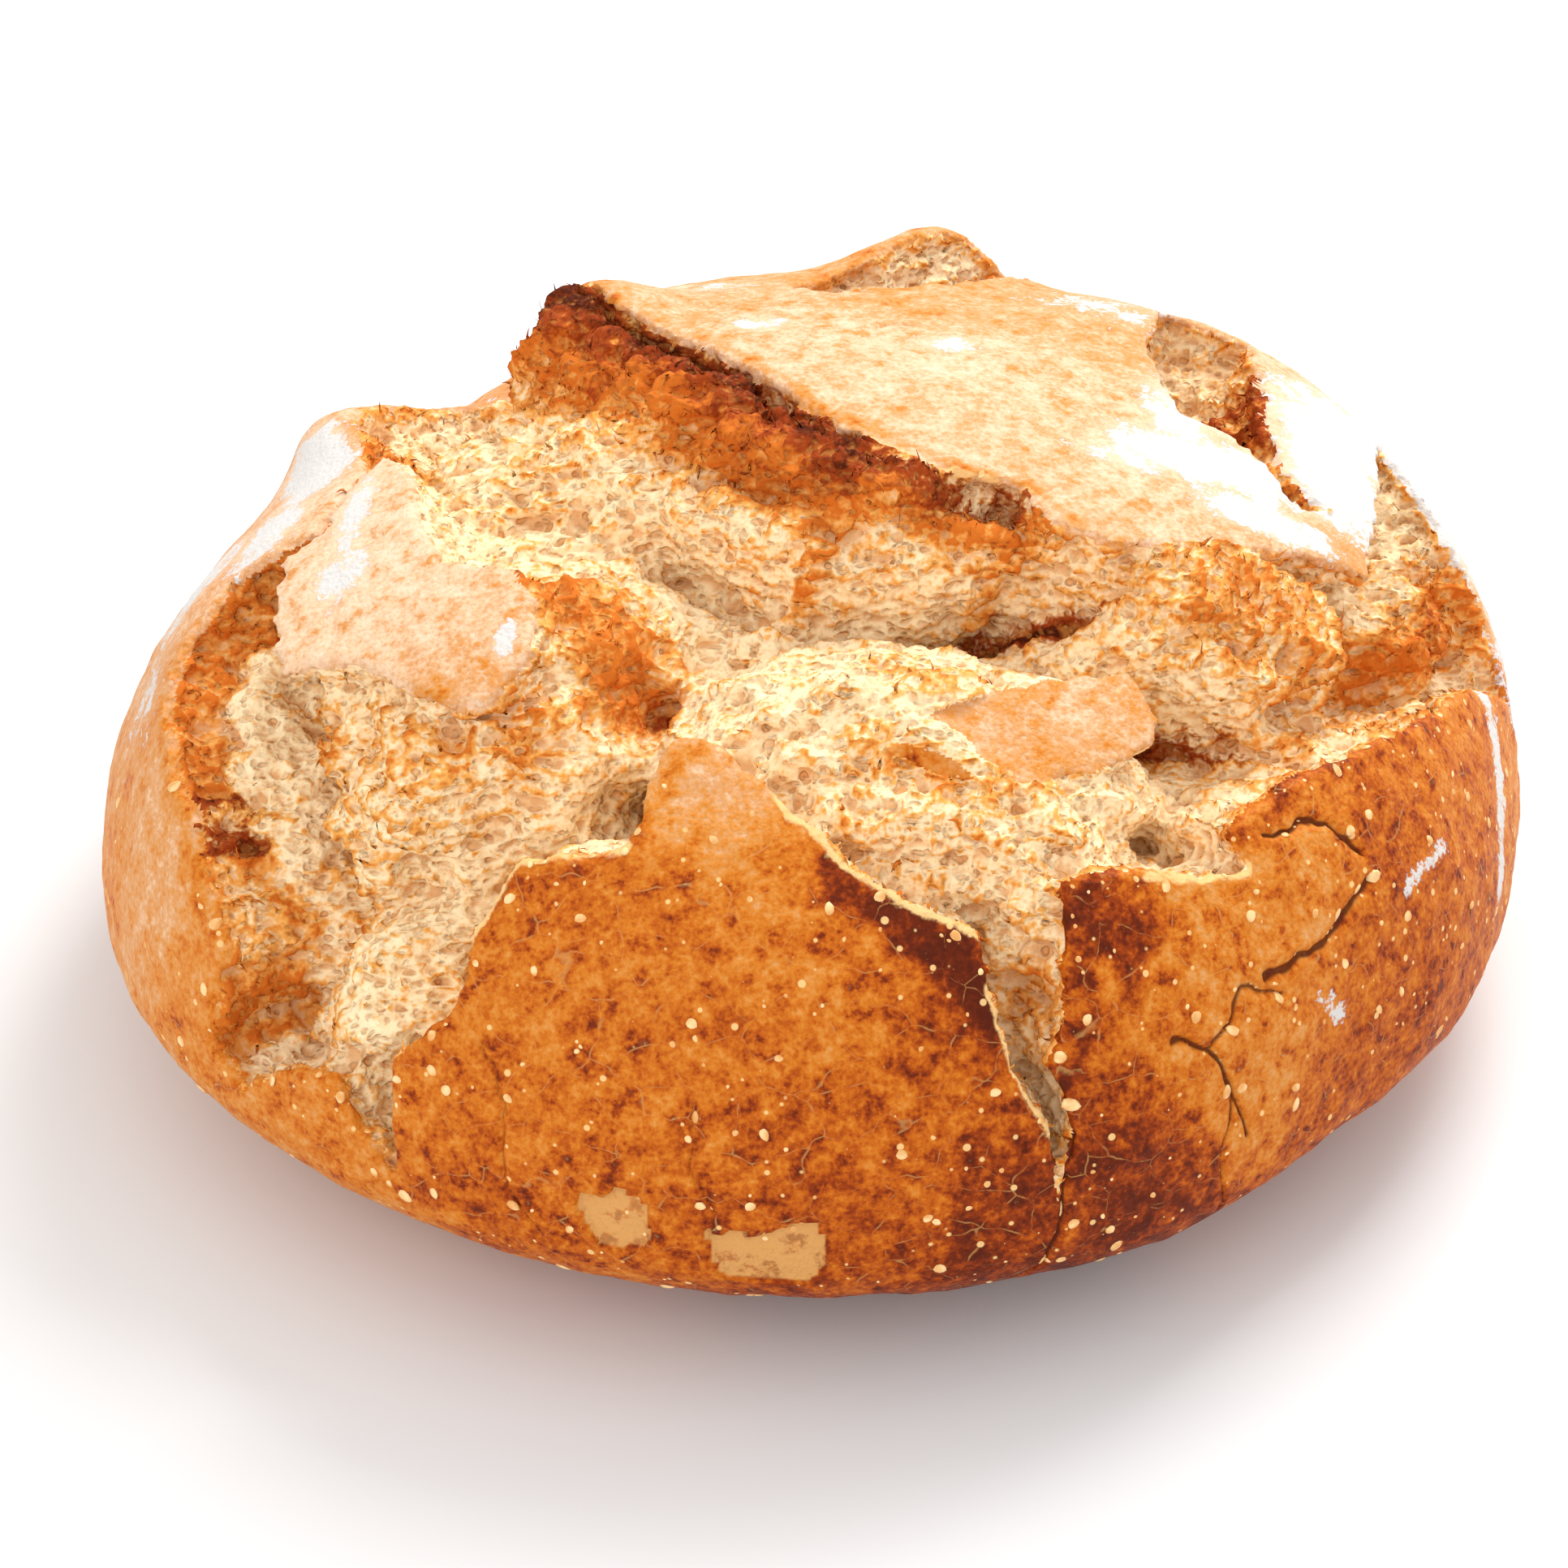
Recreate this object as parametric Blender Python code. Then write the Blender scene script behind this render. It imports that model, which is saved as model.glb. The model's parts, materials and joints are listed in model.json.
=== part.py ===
"""Round sourdough loaf, baked free-standing and torn open across its top.

Metres, +Z up. The loaf stands on its flat base at z = 0, centred on the Z axis, and is one solid.
Its baked skin is drawn on a flat map: a point of the map at distance d from the middle lies on the
skin at a tilt of d / MAP_QUARTER quarter turns from straight up. Map +U is the loaf's right (+X),
map +V its back (+Y). Heights are measured from the skin, outwards.
"""

import math

import bmesh
import bpy
import numpy as np
from mathutils import Vector
from mathutils import noise
from mathutils.geometry import delaunay_2d_cdt

MM = 0.001

# Option of the filling of an outline that keeps only the triangles inside it
KEEP_INSIDE = 1

# Driving dimensions of the skin, in millimetres
HALF_WIDTH = 119.0
HALF_DEPTH = 116.0
HEART_HEIGHT = 28.0
CROWN_RISE = 80.0
BELLY_DROP = 36.0
CROWN_POWER = 2.1
BELLY_POWER = 2.0
MAP_QUARTER = 160.0

# Spacing of the points along a torn edge and inside an outline
EDGE_STEP = 6.0
FILL_STEP = 16.0
CRUMB_MARGIN = 12.0
SKIN_SUBDIVISIONS = 5
CRUMB_SUBDIVISIONS = 6

# How far the tearing tools and the islands reach above and below the skin
TEAR_TOP = 16.0
TEAR_BOTTOM = -46.0
ISLAND_BOTTOM = -24.0
HIDDEN_CRUMB = -5.0
HIDDEN_FLOOR = 2.0
CRUMB_TOP = -3.0

# Smallest sizes told apart: on the map, and in metres on a body
MAP_ROUNDING = 0.0001
BODY_ROUNDING = 1e-6

# Ragged torn edges and craggy crumb
RAGGED = 1.4
RAGGED_LENGTH = 9.0
CRAG_HEIGHT = 2.4
CRAG_LENGTH = 17.0
FOLD_HEIGHT = 1.3
FOLD_SPACING = 13.0
FOLD_DRIFT = 1.5
FOLD_DRIFT_LENGTH = 68.0

# Profile of the bumps below: round for the skin, flat-topped for the crumb
SWELL_SQUARENESS = 1.0
LUMP_SQUARENESS = 2.0

# Swells of the skin: map place, half widths, rise
SWELLS = [
    (-105.0, 35.0, 45.0, 40.0, -5.0),
    (-72.0, 80.0, 26.0, 24.0, -12.0),
    (-97.0, 47.0, 11.0, 16.0, 7.0),
    (-140.0, -70.0, 40.0, 50.0, 2.0),
    (-112.0, -36.0, 14.0, 40.0, 3.0),
    (-44.0, 52.0, 13.0, 20.0, 8.0),
    (24.0, 84.0, 16.0, 12.0, 10.0),
    (80.0, 68.0, 36.0, 27.0, 6.0),
    (118.0, 42.0, 36.0, 42.0, 5.0),
    (140.0, -50.0, 40.0, 40.0, -2.0),
    (112.0, -108.0, 36.0, 34.0, -4.0),
]

# Torn openings: outline of each on the map, counter-clockwise from above. The mouth runs along the
# front plate, the front crack, the front right plate, the right crack's outer and inner side, the
# top flap, the rear crack, the back left plate and the left plate's inner lip.
MOUTH = [
    (-86, -133), (-79, -117), (-66, -115), (-61, -106), (-52, -97), (-40, -100), (-33, -100),
    (-30, -91), (-25, -84), (-16, -87), (-7, -95), (3, -104), (14, -109), (27, -112), (30, -120),
    (35, -129), (43, -136), (48, -150), (47, -134), (41, -128), (44, -121), (42, -103), (52, -99),
    (68, -95), (77, -90), (73, -86), (82, -75), (93, -64), (106, -50), (119, -33), (125, -20),
    (143, 2), (132, 16), (122, 24), (116, 34), (108, 48), (106, 30), (105, 6), (102, -16),
    (90, -20), (74, -27), (58, -36), (48, -35), (41, -26), (24, -22), (10, -14), (3, -7),
    (-10, 10), (-23, 28), (-38, 42), (-47, 60), (-44, 80), (-37, 97), (-39, 113), (-28, 138),
    (-45, 117), (-47, 98), (-57, 85), (-70, 74), (-84, 62), (-92, 44), (-91, 14), (-96, -8),
    (-109, -10), (-116, -22), (-118, -38), (-111, -62), (-110, -86), (-122, -95), (-119, -104),
    (-104, -108), (-93, -114), (-91, -124),
]
RIGHT_CRACK = [
    (65, 45), (68, 30), (71, 16), (79, 13), (86, 5), (90, -5), (97, -2), (89, 5), (87, 20),
    (86, 40), (83, 64), (74, 69), (66, 66),
]
BACK_TEAR = [
    (-6, 66), (4, 58), (18, 64), (32, 68), (44, 78), (57, 91), (64, 106), (80, 124), (58, 111),
    (49, 98), (36, 88), (22, 80), (8, 76),
]
TEARS = {"mouth": MOUTH, "right_crack": RIGHT_CRACK, "back_tear": BACK_TEAR}

# Islands of crust left standing in the mouth: outline, height of the top
LEFT_ISLAND = [
    (-84, 12), (-90, 2), (-91, -12), (-98, -16), (-97, -34), (-95, -47), (-84, -52), (-77, -57),
    (-66, -68), (-58, -71), (-51, -64), (-51, -52), (-58, -42), (-69, -36), (-74, -22), (-77, -6),
]
CENTRE_ISLAND = [
    (10, -85), (22, -90), (34, -90), (48, -84), (60, -78), (68, -68), (66, -59), (54, -64),
    (39, -71), (24, -78),
]
ISLANDS = {"left_island": (LEFT_ISLAND, 1.5), "centre_island": (CENTRE_ISLAND, -4.0)}

# Bare crumb inside the openings: depth of its floor, then lumps and hollows as for the swells
FLOOR_HEIGHT = -26.0
LUMPS = [
    (22.0, -88.0, 56.0, 28.0, 20.0),
    (-84.0, -54.0, 22.0, 50.0, 19.0),
    (-57.0, -60.0, 20.0, 34.0, 19.0),
    (80.0, -38.0, 27.0, 22.0, 24.0),
    (100.0, -60.0, 22.0, 14.0, 16.0),
    (124.0, 4.0, 16.0, 20.0, 18.0),
    (8.0, -8.0, 54.0, 38.0, 16.0),
    (-64.0, 22.0, 40.0, 38.0, 17.0),
    (-54.0, 66.0, 22.0, 20.0, 14.0),
    (-116.0, -50.0, 11.0, 46.0, 16.0),
    (-98.0, -114.0, 24.0, 18.0, 16.0),
    (44.0, -122.0, 12.0, 22.0, 12.0),
    (78.0, 30.0, 14.0, 30.0, 12.0),
    (18.0, 72.0, 30.0, 16.0, 12.0),
    (-42.0, 106.0, 16.0, 30.0, 12.0),
    (56.0, 100.0, 22.0, 30.0, 13.0),
]
HOLLOWS = [
    (-39.0, -72.0, 6.0, 9.0, -7.0),
    (-43.0, -93.0, 8.0, 8.0, -9.0),
    (-84.0, -92.0, 9.0, 6.0, -7.0),
    (50.0, -42.0, 14.0, 7.0, -8.0),
    (80.0, -65.0, 14.0, 6.0, -12.0),
    (74.0, -90.0, 8.0, 5.0, -6.0),
]

CRUST_COLOUR = (0.58, 0.24, 0.07, 1.0)
CRUST_ROUGHNESS = 0.62
SHARP_ANGLE = math.radians(35.0)


def sum_of_bumps(bumps, u, v, squareness):
    """Height at map points (u, v) of a list of bumps: squareness 1 is round, 2 flat-topped."""
    height = np.zeros_like(u)
    for centre_u, centre_v, half_u, half_v, rise in bumps:
        reach = ((u - centre_u) / half_u) ** 2 + ((v - centre_v) / half_v) ** 2
        height += rise * np.exp(-reach ** squareness)
    return height


def skin_radius(tilt, bearing):
    """Distance of the skin from the heart point, before its swells."""
    side = 1.0 / np.hypot(np.cos(bearing) / HALF_WIDTH, np.sin(bearing) / HALF_DEPTH)
    above = np.cos(tilt) >= 0.0
    rise = np.where(above, CROWN_RISE, BELLY_DROP)
    power = np.where(above, CROWN_POWER, BELLY_POWER)
    across = (np.abs(np.sin(tilt)) / side) ** power
    along = (np.abs(np.cos(tilt)) / rise) ** power
    return (across + along) ** (-1.0 / power)


def place(u, v, height):
    """Points in space, in millimetres, of map points at a height over the skin."""
    tilt = np.hypot(u, v) / MAP_QUARTER * math.pi / 2.0
    bearing = np.arctan2(v, u)
    radius = skin_radius(tilt, bearing) + sum_of_bumps(SWELLS, u, v, SWELL_SQUARENESS) + height
    flat = radius * np.sin(tilt)
    return np.stack([flat * np.cos(bearing), flat * np.sin(bearing),
                     HEART_HEIGHT + radius * np.cos(tilt)], axis=-1)


def crag(points, length):
    """Smooth random values from -1 to 1 at points, with features of a given length."""
    return np.array([noise.fractal(Vector(point) / length, 1.0, 2.0, 3) for point in points])


def crumb_height(u, v):
    """Height of the torn crumb over the skin, with its folds and crags."""
    height = FLOOR_HEIGHT + sum_of_bumps(LUMPS + HOLLOWS, u, v, LUMP_SQUARENESS)
    flat = np.stack([u, v, np.zeros_like(u)], axis=-1)
    drift = crag(flat, FOLD_DRIFT_LENGTH)
    folds = FOLD_HEIGHT * np.sin(2.0 * math.pi * (v / FOLD_SPACING + FOLD_DRIFT * drift))
    crags = CRAG_HEIGHT * crag(flat, CRAG_LENGTH)
    return np.minimum(height, CRUMB_TOP) + folds + crags


def inside(outline, u, v):
    """Which map points lie inside a closed outline."""
    corner = np.asarray(outline, dtype=float)
    after = np.roll(corner, -1, axis=0)
    hit = np.zeros(u.shape, dtype=bool)
    for (u0, v0), (u1, v1) in zip(corner, after):
        spans = (v0 > v) != (v1 > v)
        run = np.where(spans, (v - v0) / (v1 - v0 if v1 != v0 else 1.0), 0.0)
        hit ^= spans & (u < u0 + run * (u1 - u0))
    return hit


def edge_distance(outline, u, v):
    """Distance of map points from the nearest edge of a closed outline."""
    corner = np.asarray(outline, dtype=float)
    after = np.roll(corner, -1, axis=0)
    nearest = np.full(u.shape, np.inf)
    for start, end in zip(corner, after):
        along = end - start
        share = ((u - start[0]) * along[0] + (v - start[1]) * along[1]) / along.dot(along)
        share = np.clip(share, 0.0, 1.0)
        nearest = np.minimum(nearest, np.hypot(u - start[0] - share * along[0],
                                               v - start[1] - share * along[1]))
    return nearest


def ragged_outline(outline):
    """The outline with points every EDGE_STEP or so, pushed about as a tear runs."""
    corner = np.asarray(outline, dtype=float)
    points = []
    for start, end in zip(corner, np.roll(corner, -1, axis=0)):
        count = max(1, round(float(np.hypot(*(end - start))) / EDGE_STEP))
        for index in range(count):
            point = start + (end - start) * index / count
            if index:
                shift = noise.noise_vector(Vector((point[0], point[1], 0.0)) / RAGGED_LENGTH)
                point = point + RAGGED * np.array(shift[:2])
            points.append(point)
    return np.array(points)


def fill_points(outline):
    """Map points on a staggered grid inside an outline, clear of its edge."""
    low = outline.min(axis=0)
    high = outline.max(axis=0)
    rows = []
    for index, v in enumerate(np.arange(low[1], high[1], FILL_STEP * math.sqrt(0.75))):
        start = low[0] + (index % 2) * FILL_STEP / 2.0
        rows += [(u, v) for u in np.arange(start, high[0], FILL_STEP)]
    grid = np.array(rows)
    u = grid[:, 0]
    v = grid[:, 1]
    clear = edge_distance(outline, u, v) > FILL_STEP / 2.0
    return grid[inside(outline, u, v) & clear]


def link(name, mesh, collection):
    """An object of a mesh, in a collection."""
    piece = bpy.data.objects.new(name, mesh)
    collection.objects.link(piece)
    return piece


def plug(name, outline, top, bottom, collection):
    """A closed body between two heights over the skin, with a ragged outline as its side."""
    rim = ragged_outline(outline)
    flat_points = np.vstack([rim, fill_points(rim)])
    vectors = [Vector(point) for point in flat_points]
    loop = list(range(len(rim)))
    filled = delaunay_2d_cdt(vectors, [], [loop], KEEP_INSIDE, MAP_ROUNDING)
    flat_points = np.array([tuple(point) for point in filled[0]])
    u = flat_points[:, 0]
    v = flat_points[:, 1]
    upper = place(u, v, top) * MM
    lower = place(u, v, bottom) * MM
    count = len(flat_points)
    faces = [tuple(face) for face in filled[2]]
    sides = {side for face in faces for side in zip(face, face[1:] + face[:1])}
    rims = sorted(side for side in sides if side[::-1] not in sides)
    walls = [(b, a, a + count, b + count) for a, b in rims]
    under = [tuple(index + count for index in reversed(face)) for face in faces]
    mesh = bpy.data.meshes.new(name)
    mesh.from_pydata(np.vstack([upper, lower]).tolist(), [], faces + under + walls)
    body = bmesh.new()
    body.from_mesh(mesh)
    bmesh.ops.recalc_face_normals(body, faces=body.faces)
    body.to_mesh(mesh)
    body.free()
    return link(name, mesh, collection)


def ball(name, subdivisions, height_of, floor, collection):
    """A closed body around the heart point, shaped by a height over the skin and cut flat below."""
    mesh = bpy.data.meshes.new(name)
    body = bmesh.new()
    bmesh.ops.create_icosphere(body, subdivisions=subdivisions, radius=1.0)
    ways = np.array([vert.co[:] for vert in body.verts])
    tilt = np.arccos(np.clip(ways[:, 2], -1.0, 1.0))
    bearing = np.arctan2(ways[:, 1], ways[:, 0])
    reach = tilt / (math.pi / 2.0) * MAP_QUARTER
    u = reach * np.cos(bearing)
    v = reach * np.sin(bearing)
    for vert, point in zip(body.verts, place(u, v, height_of(u, v)) * MM):
        vert.co = point
    cut = bmesh.ops.bisect_plane(body, geom=body.verts[:] + body.edges[:] + body.faces[:],
                                 dist=BODY_ROUNDING, plane_co=(0.0, 0.0, floor * MM),
                                 plane_no=(0.0, 0.0, 1.0), clear_inner=True)
    rim = [item for item in cut["geom_cut"] if isinstance(item, bmesh.types.BMEdge)]
    bmesh.ops.contextual_create(body, geom=rim)
    bmesh.ops.recalc_face_normals(body, faces=body.faces)
    body.to_mesh(mesh)
    body.free()
    return link(name, mesh, collection)


def whole_height(u, v):
    """Height of the skin body: the skin itself."""
    return np.zeros_like(u)


def torn_height(u, v):
    """Height of the crumb body: its real surface in the openings, just under the skin elsewhere."""
    height = np.full_like(u, HIDDEN_CRUMB)
    near = np.zeros(u.shape, dtype=bool)
    for outline in TEARS.values():
        near |= inside(outline, u, v) | (edge_distance(outline, u, v) < CRUMB_MARGIN)
    height[near] = crumb_height(u[near], v[near])
    return height


def add_boolean(piece, operation, collection):
    """A Boolean modifier on a piece, with all the bodies of a collection."""
    modifier = piece.modifiers.new(operation.lower(), "BOOLEAN")
    modifier.operation = operation
    modifier.operand_type = "COLLECTION"
    modifier.collection = collection
    modifier.solver = "EXACT"


def crust_material():
    """Baked crust, a warm matt brown."""
    material = bpy.data.materials.new("baked_crust")
    material.use_nodes = True
    shader = material.node_tree.nodes["Principled BSDF"]
    shader.inputs["Base Color"].default_value = CRUST_COLOUR
    shader.inputs["Roughness"].default_value = CRUST_ROUGHNESS
    shader.inputs["Metallic"].default_value = 0.0
    return material


def fused_mesh(skin, filling, cutters):
    """The skin with the openings torn out and the crumb and islands joined on, in triangles."""
    add_boolean(skin, "DIFFERENCE", cutters)
    add_boolean(skin, "UNION", filling)
    bpy.context.view_layer.update()
    evaluated = skin.evaluated_get(bpy.context.evaluated_depsgraph_get())
    mesh = bpy.data.meshes.new_from_object(evaluated)
    body = bmesh.new()
    body.from_mesh(mesh)
    bmesh.ops.triangulate(body, faces=body.faces)
    body.to_mesh(mesh)
    body.free()
    return mesh


def main():
    """Build the loaf as one object in its own collection."""
    for old in list(bpy.data.objects):
        bpy.data.objects.remove(old, do_unlink=True)
    root = bpy.context.scene.collection
    finished = bpy.data.collections.new("sourdough_loaf")
    filling = bpy.data.collections.new("filling")
    cutters = bpy.data.collections.new("cutters")
    for collection in (finished, filling, cutters):
        root.children.link(collection)

    skin = ball("skin", SKIN_SUBDIVISIONS, whole_height, 0.0, finished)
    ball("crumb", CRUMB_SUBDIVISIONS, torn_height, HIDDEN_FLOOR, filling)
    for name, (outline, top) in ISLANDS.items():
        plug(name, outline, top, ISLAND_BOTTOM, filling)
    for name, outline in TEARS.items():
        cutter = plug(name, outline, TEAR_TOP, TEAR_BOTTOM, cutters)
        cutter.hide_render = True
        cutter.display_type = "WIRE"

    fused = fused_mesh(skin, filling, cutters)
    for piece in [skin] + list(filling.objects) + list(cutters.objects):
        bpy.data.objects.remove(piece, do_unlink=True)
    for collection in (filling, cutters):
        bpy.data.collections.remove(collection)
    fused.materials.append(crust_material())
    fused.shade_smooth()
    fused.set_sharp_from_angle(angle=SHARP_ANGLE)
    link("loaf", fused, finished)


if __name__ == "__main__":
    main()
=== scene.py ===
"""Visual model of a round sourdough loaf, torn open across its top in the oven.

Lengths are in millimetres on the loaf and in metres in the scene, +Z up. The baked skin is drawn on
a flat map: a point of the map at distance d from the middle lies on the skin at a tilt of
d / quarter quarter turns from straight up. Map +U is the loaf's right (+X), map +V its back (+Y).
"""

import json
import logging
import math
from dataclasses import dataclass, field
from enum import Enum

import bmesh
import bpy
import numpy as np
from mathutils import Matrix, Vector, noise
from mathutils.geometry import delaunay_2d_cdt
from mathutils.kdtree import KDTree

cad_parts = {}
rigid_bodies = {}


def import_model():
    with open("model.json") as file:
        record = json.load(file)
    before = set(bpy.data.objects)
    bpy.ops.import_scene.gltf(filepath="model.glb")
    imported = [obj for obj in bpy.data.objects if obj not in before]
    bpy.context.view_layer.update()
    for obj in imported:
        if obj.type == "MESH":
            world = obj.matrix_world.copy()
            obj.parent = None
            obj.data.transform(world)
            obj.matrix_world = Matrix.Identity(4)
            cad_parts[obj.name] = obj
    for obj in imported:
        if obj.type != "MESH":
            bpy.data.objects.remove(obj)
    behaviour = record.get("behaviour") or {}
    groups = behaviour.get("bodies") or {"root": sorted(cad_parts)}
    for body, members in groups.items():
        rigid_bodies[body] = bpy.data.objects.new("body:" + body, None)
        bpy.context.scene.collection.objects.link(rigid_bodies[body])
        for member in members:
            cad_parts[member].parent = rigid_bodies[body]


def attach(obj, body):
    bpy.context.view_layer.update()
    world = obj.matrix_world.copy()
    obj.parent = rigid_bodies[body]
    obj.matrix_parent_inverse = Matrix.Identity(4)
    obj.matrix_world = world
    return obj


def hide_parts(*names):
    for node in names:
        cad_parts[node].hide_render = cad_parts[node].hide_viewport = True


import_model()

MM = 0.001
LOG = logging.getLogger("loaf")
PUSHED = "pushed_place"
SEED = 5

Array = np.ndarray
Colour = tuple[float, float, float]


class Solver(Enum):
    """How a Boolean works out where bodies meet."""

    FAST = "MANIFOLD"


class Patch(float, Enum):
    """Where in the noise each kind of relief is read, so that no two look alike."""

    SWAY = 3.0
    FRAY = 5.0
    PORE = 7.0
    HAIR = 9.0
    WIDE = 13.0
    NEAR = 17.0
    PUSH = 29.0
    THREAD = 31.0
    CRACK = 51.0
    LEAF = 61.0
    FUZZ = 71.0
    BLISTER = 81.0
    RIPPLE = 91.0


def smooth_step(values: Array, start: float, end: float) -> Array:
    """Values mapped from 0 at start to 1 at end with soft ends."""
    share = np.clip((values - start) / (end - start), 0.0, 1.0)
    return share * share * (3.0 - 2.0 * share)


class Noise:
    """Smooth random fields sampled at many points."""

    @staticmethod
    def vectors(points: Array, length: Array | float, shift: float = 0.0) -> list[Vector]:
        """Points scaled to a feature length and moved to their own part of the field."""
        return [Vector(point) for point in (points / length + float(shift)).tolist()]

    @classmethod
    def fractal(cls, points: Array, length: Array | float, octaves: int = 3,
                shift: float = 0.0) -> Array:
        """Layered noise from about -1 to 1."""
        return np.array([noise.fractal(point, 1.0, 2.0, octaves)
                         for point in cls.vectors(points, length, shift)])

    @classmethod
    def warp(cls, points: Array, length: float, shift: float = 0.0) -> Array:
        """A random direction and strength at every point."""
        return np.array([noise.noise_vector(point)[:]
                         for point in cls.vectors(points, length, shift)])

    @classmethod
    def cells(cls, points: Array, length: Array | float, shift: float = 0.0) -> tuple[Array, Array]:
        """Distances of the two nearest cell middles, in cells, and the nearest middle."""
        found = [noise.voronoi(point) for point in cls.vectors(points, length, shift)]
        distances = np.array([item[0][:2] for item in found])
        middles = np.array([item[1][0][:] for item in found])
        return distances, middles


@dataclass(frozen=True)
class Bump:
    """A rise, dip or patch on the map: place, half widths and amount."""

    u: float
    v: float
    half_u: float
    half_v: float
    amount: float

    def at(self, u: Array, v: Array, squareness: float = 1.0) -> Array:
        """Its height at map points: squareness 1 is round, 2 flat-topped."""
        reach = ((u - self.u) / self.half_u) ** 2 + ((v - self.v) / self.half_v) ** 2
        return self.amount * np.exp(-reach ** squareness)


@dataclass(frozen=True)
class Stroke:
    """A band along a line of map points: half width and amount."""

    line: tuple[tuple[float, float], ...]
    half_width: float
    amount: float = 1.0

    def distance(self, u: Array, v: Array) -> Array:
        """Distance of map points from the line."""
        corner = np.asarray(self.line, dtype=float)
        nearest = np.full(u.shape, np.inf)
        for start, end in zip(corner[:-1], corner[1:]):
            along = end - start
            share = ((u - start[0]) * along[0] + (v - start[1]) * along[1]) / along.dot(along)
            share = np.clip(share, 0.0, 1.0)
            nearest = np.minimum(nearest, np.hypot(u - start[0] - share * along[0],
                                                   v - start[1] - share * along[1]))
        return nearest

    def at(self, u: Array, v: Array, squareness: float = 1.0) -> Array:
        """Its height at map points."""
        return self.amount * np.exp(-((self.distance(u, v) / self.half_width) ** 2) ** squareness)


def total(marks: tuple, u: Array, v: Array, squareness: float = 1.0) -> Array:
    """Sum of several bumps or strokes at map points."""
    height = np.zeros_like(u)
    for mark in marks:
        height += mark.at(u, v, squareness)
    return height


def strongest(marks: tuple, u: Array, v: Array) -> Array:
    """Largest of several bumps or strokes at map points."""
    height = np.zeros_like(u)
    for mark in marks:
        height = np.maximum(height, mark.at(u, v))
    return height


@dataclass(frozen=True)
class Skin:
    """The whole baked skin: two half ellipsoids with a few swells, cut flat below."""

    half_width: float = 119.0
    half_depth: float = 116.0
    heart: float = 28.0
    crown_rise: float = 80.0
    belly_drop: float = 36.0
    crown_power: float = 2.1
    belly_power: float = 2.0
    quarter: float = 160.0
    swells: tuple[Bump, ...] = (
        Bump(-105, 35, 45, 40, -5), Bump(-72, 80, 26, 24, -12), Bump(-97, 47, 11, 16, 7),
        Bump(-140, -70, 40, 50, 2), Bump(-112, -36, 14, 40, 3), Bump(-44, 52, 13, 20, 8),
        Bump(24, 84, 16, 12, 10), Bump(80, 68, 36, 27, 6), Bump(118, 42, 36, 42, 5),
        Bump(140, -50, 40, 40, -2), Bump(112, -108, 36, 34, -4),
    )

    def radius(self, u: Array, v: Array) -> Array:
        """Distance of the skin from the heart point under map points."""
        tilt = np.hypot(u, v) / self.quarter * math.pi / 2.0
        bearing = np.arctan2(v, u)
        side = 1.0 / np.hypot(np.cos(bearing) / self.half_width, np.sin(bearing) / self.half_depth)
        above = np.cos(tilt) >= 0.0
        rise = np.where(above, self.crown_rise, self.belly_drop)
        power = np.where(above, self.crown_power, self.belly_power)
        across = (np.abs(np.sin(tilt)) / side) ** power
        along = (np.abs(np.cos(tilt)) / rise) ** power
        return (across + along) ** (-1.0 / power) + total(self.swells, u, v)

    def place(self, u: Array, v: Array, height: Array | float) -> Array:
        """Points in space of map points at a height over the skin."""
        tilt = np.hypot(u, v) / self.quarter * math.pi / 2.0
        bearing = np.arctan2(v, u)
        radius = self.radius(u, v) + height
        flat = radius * np.sin(tilt)
        return np.stack([flat * np.cos(bearing), flat * np.sin(bearing),
                         self.heart + radius * np.cos(tilt)], axis=-1)

    def locate(self, points: Array) -> tuple[Array, Array, Array]:
        """Map place and height over the skin of points in space."""
        offset = points - np.array([0.0, 0.0, self.heart])
        distance = np.linalg.norm(offset, axis=1)
        tilt = np.arccos(np.clip(offset[:, 2] / np.maximum(distance, 1e-6), -1.0, 1.0))
        bearing = np.arctan2(offset[:, 1], offset[:, 0])
        reach = tilt / (math.pi / 2.0) * self.quarter
        u = reach * np.cos(bearing)
        v = reach * np.sin(bearing)
        return u, v, distance - self.radius(u, v)


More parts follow.
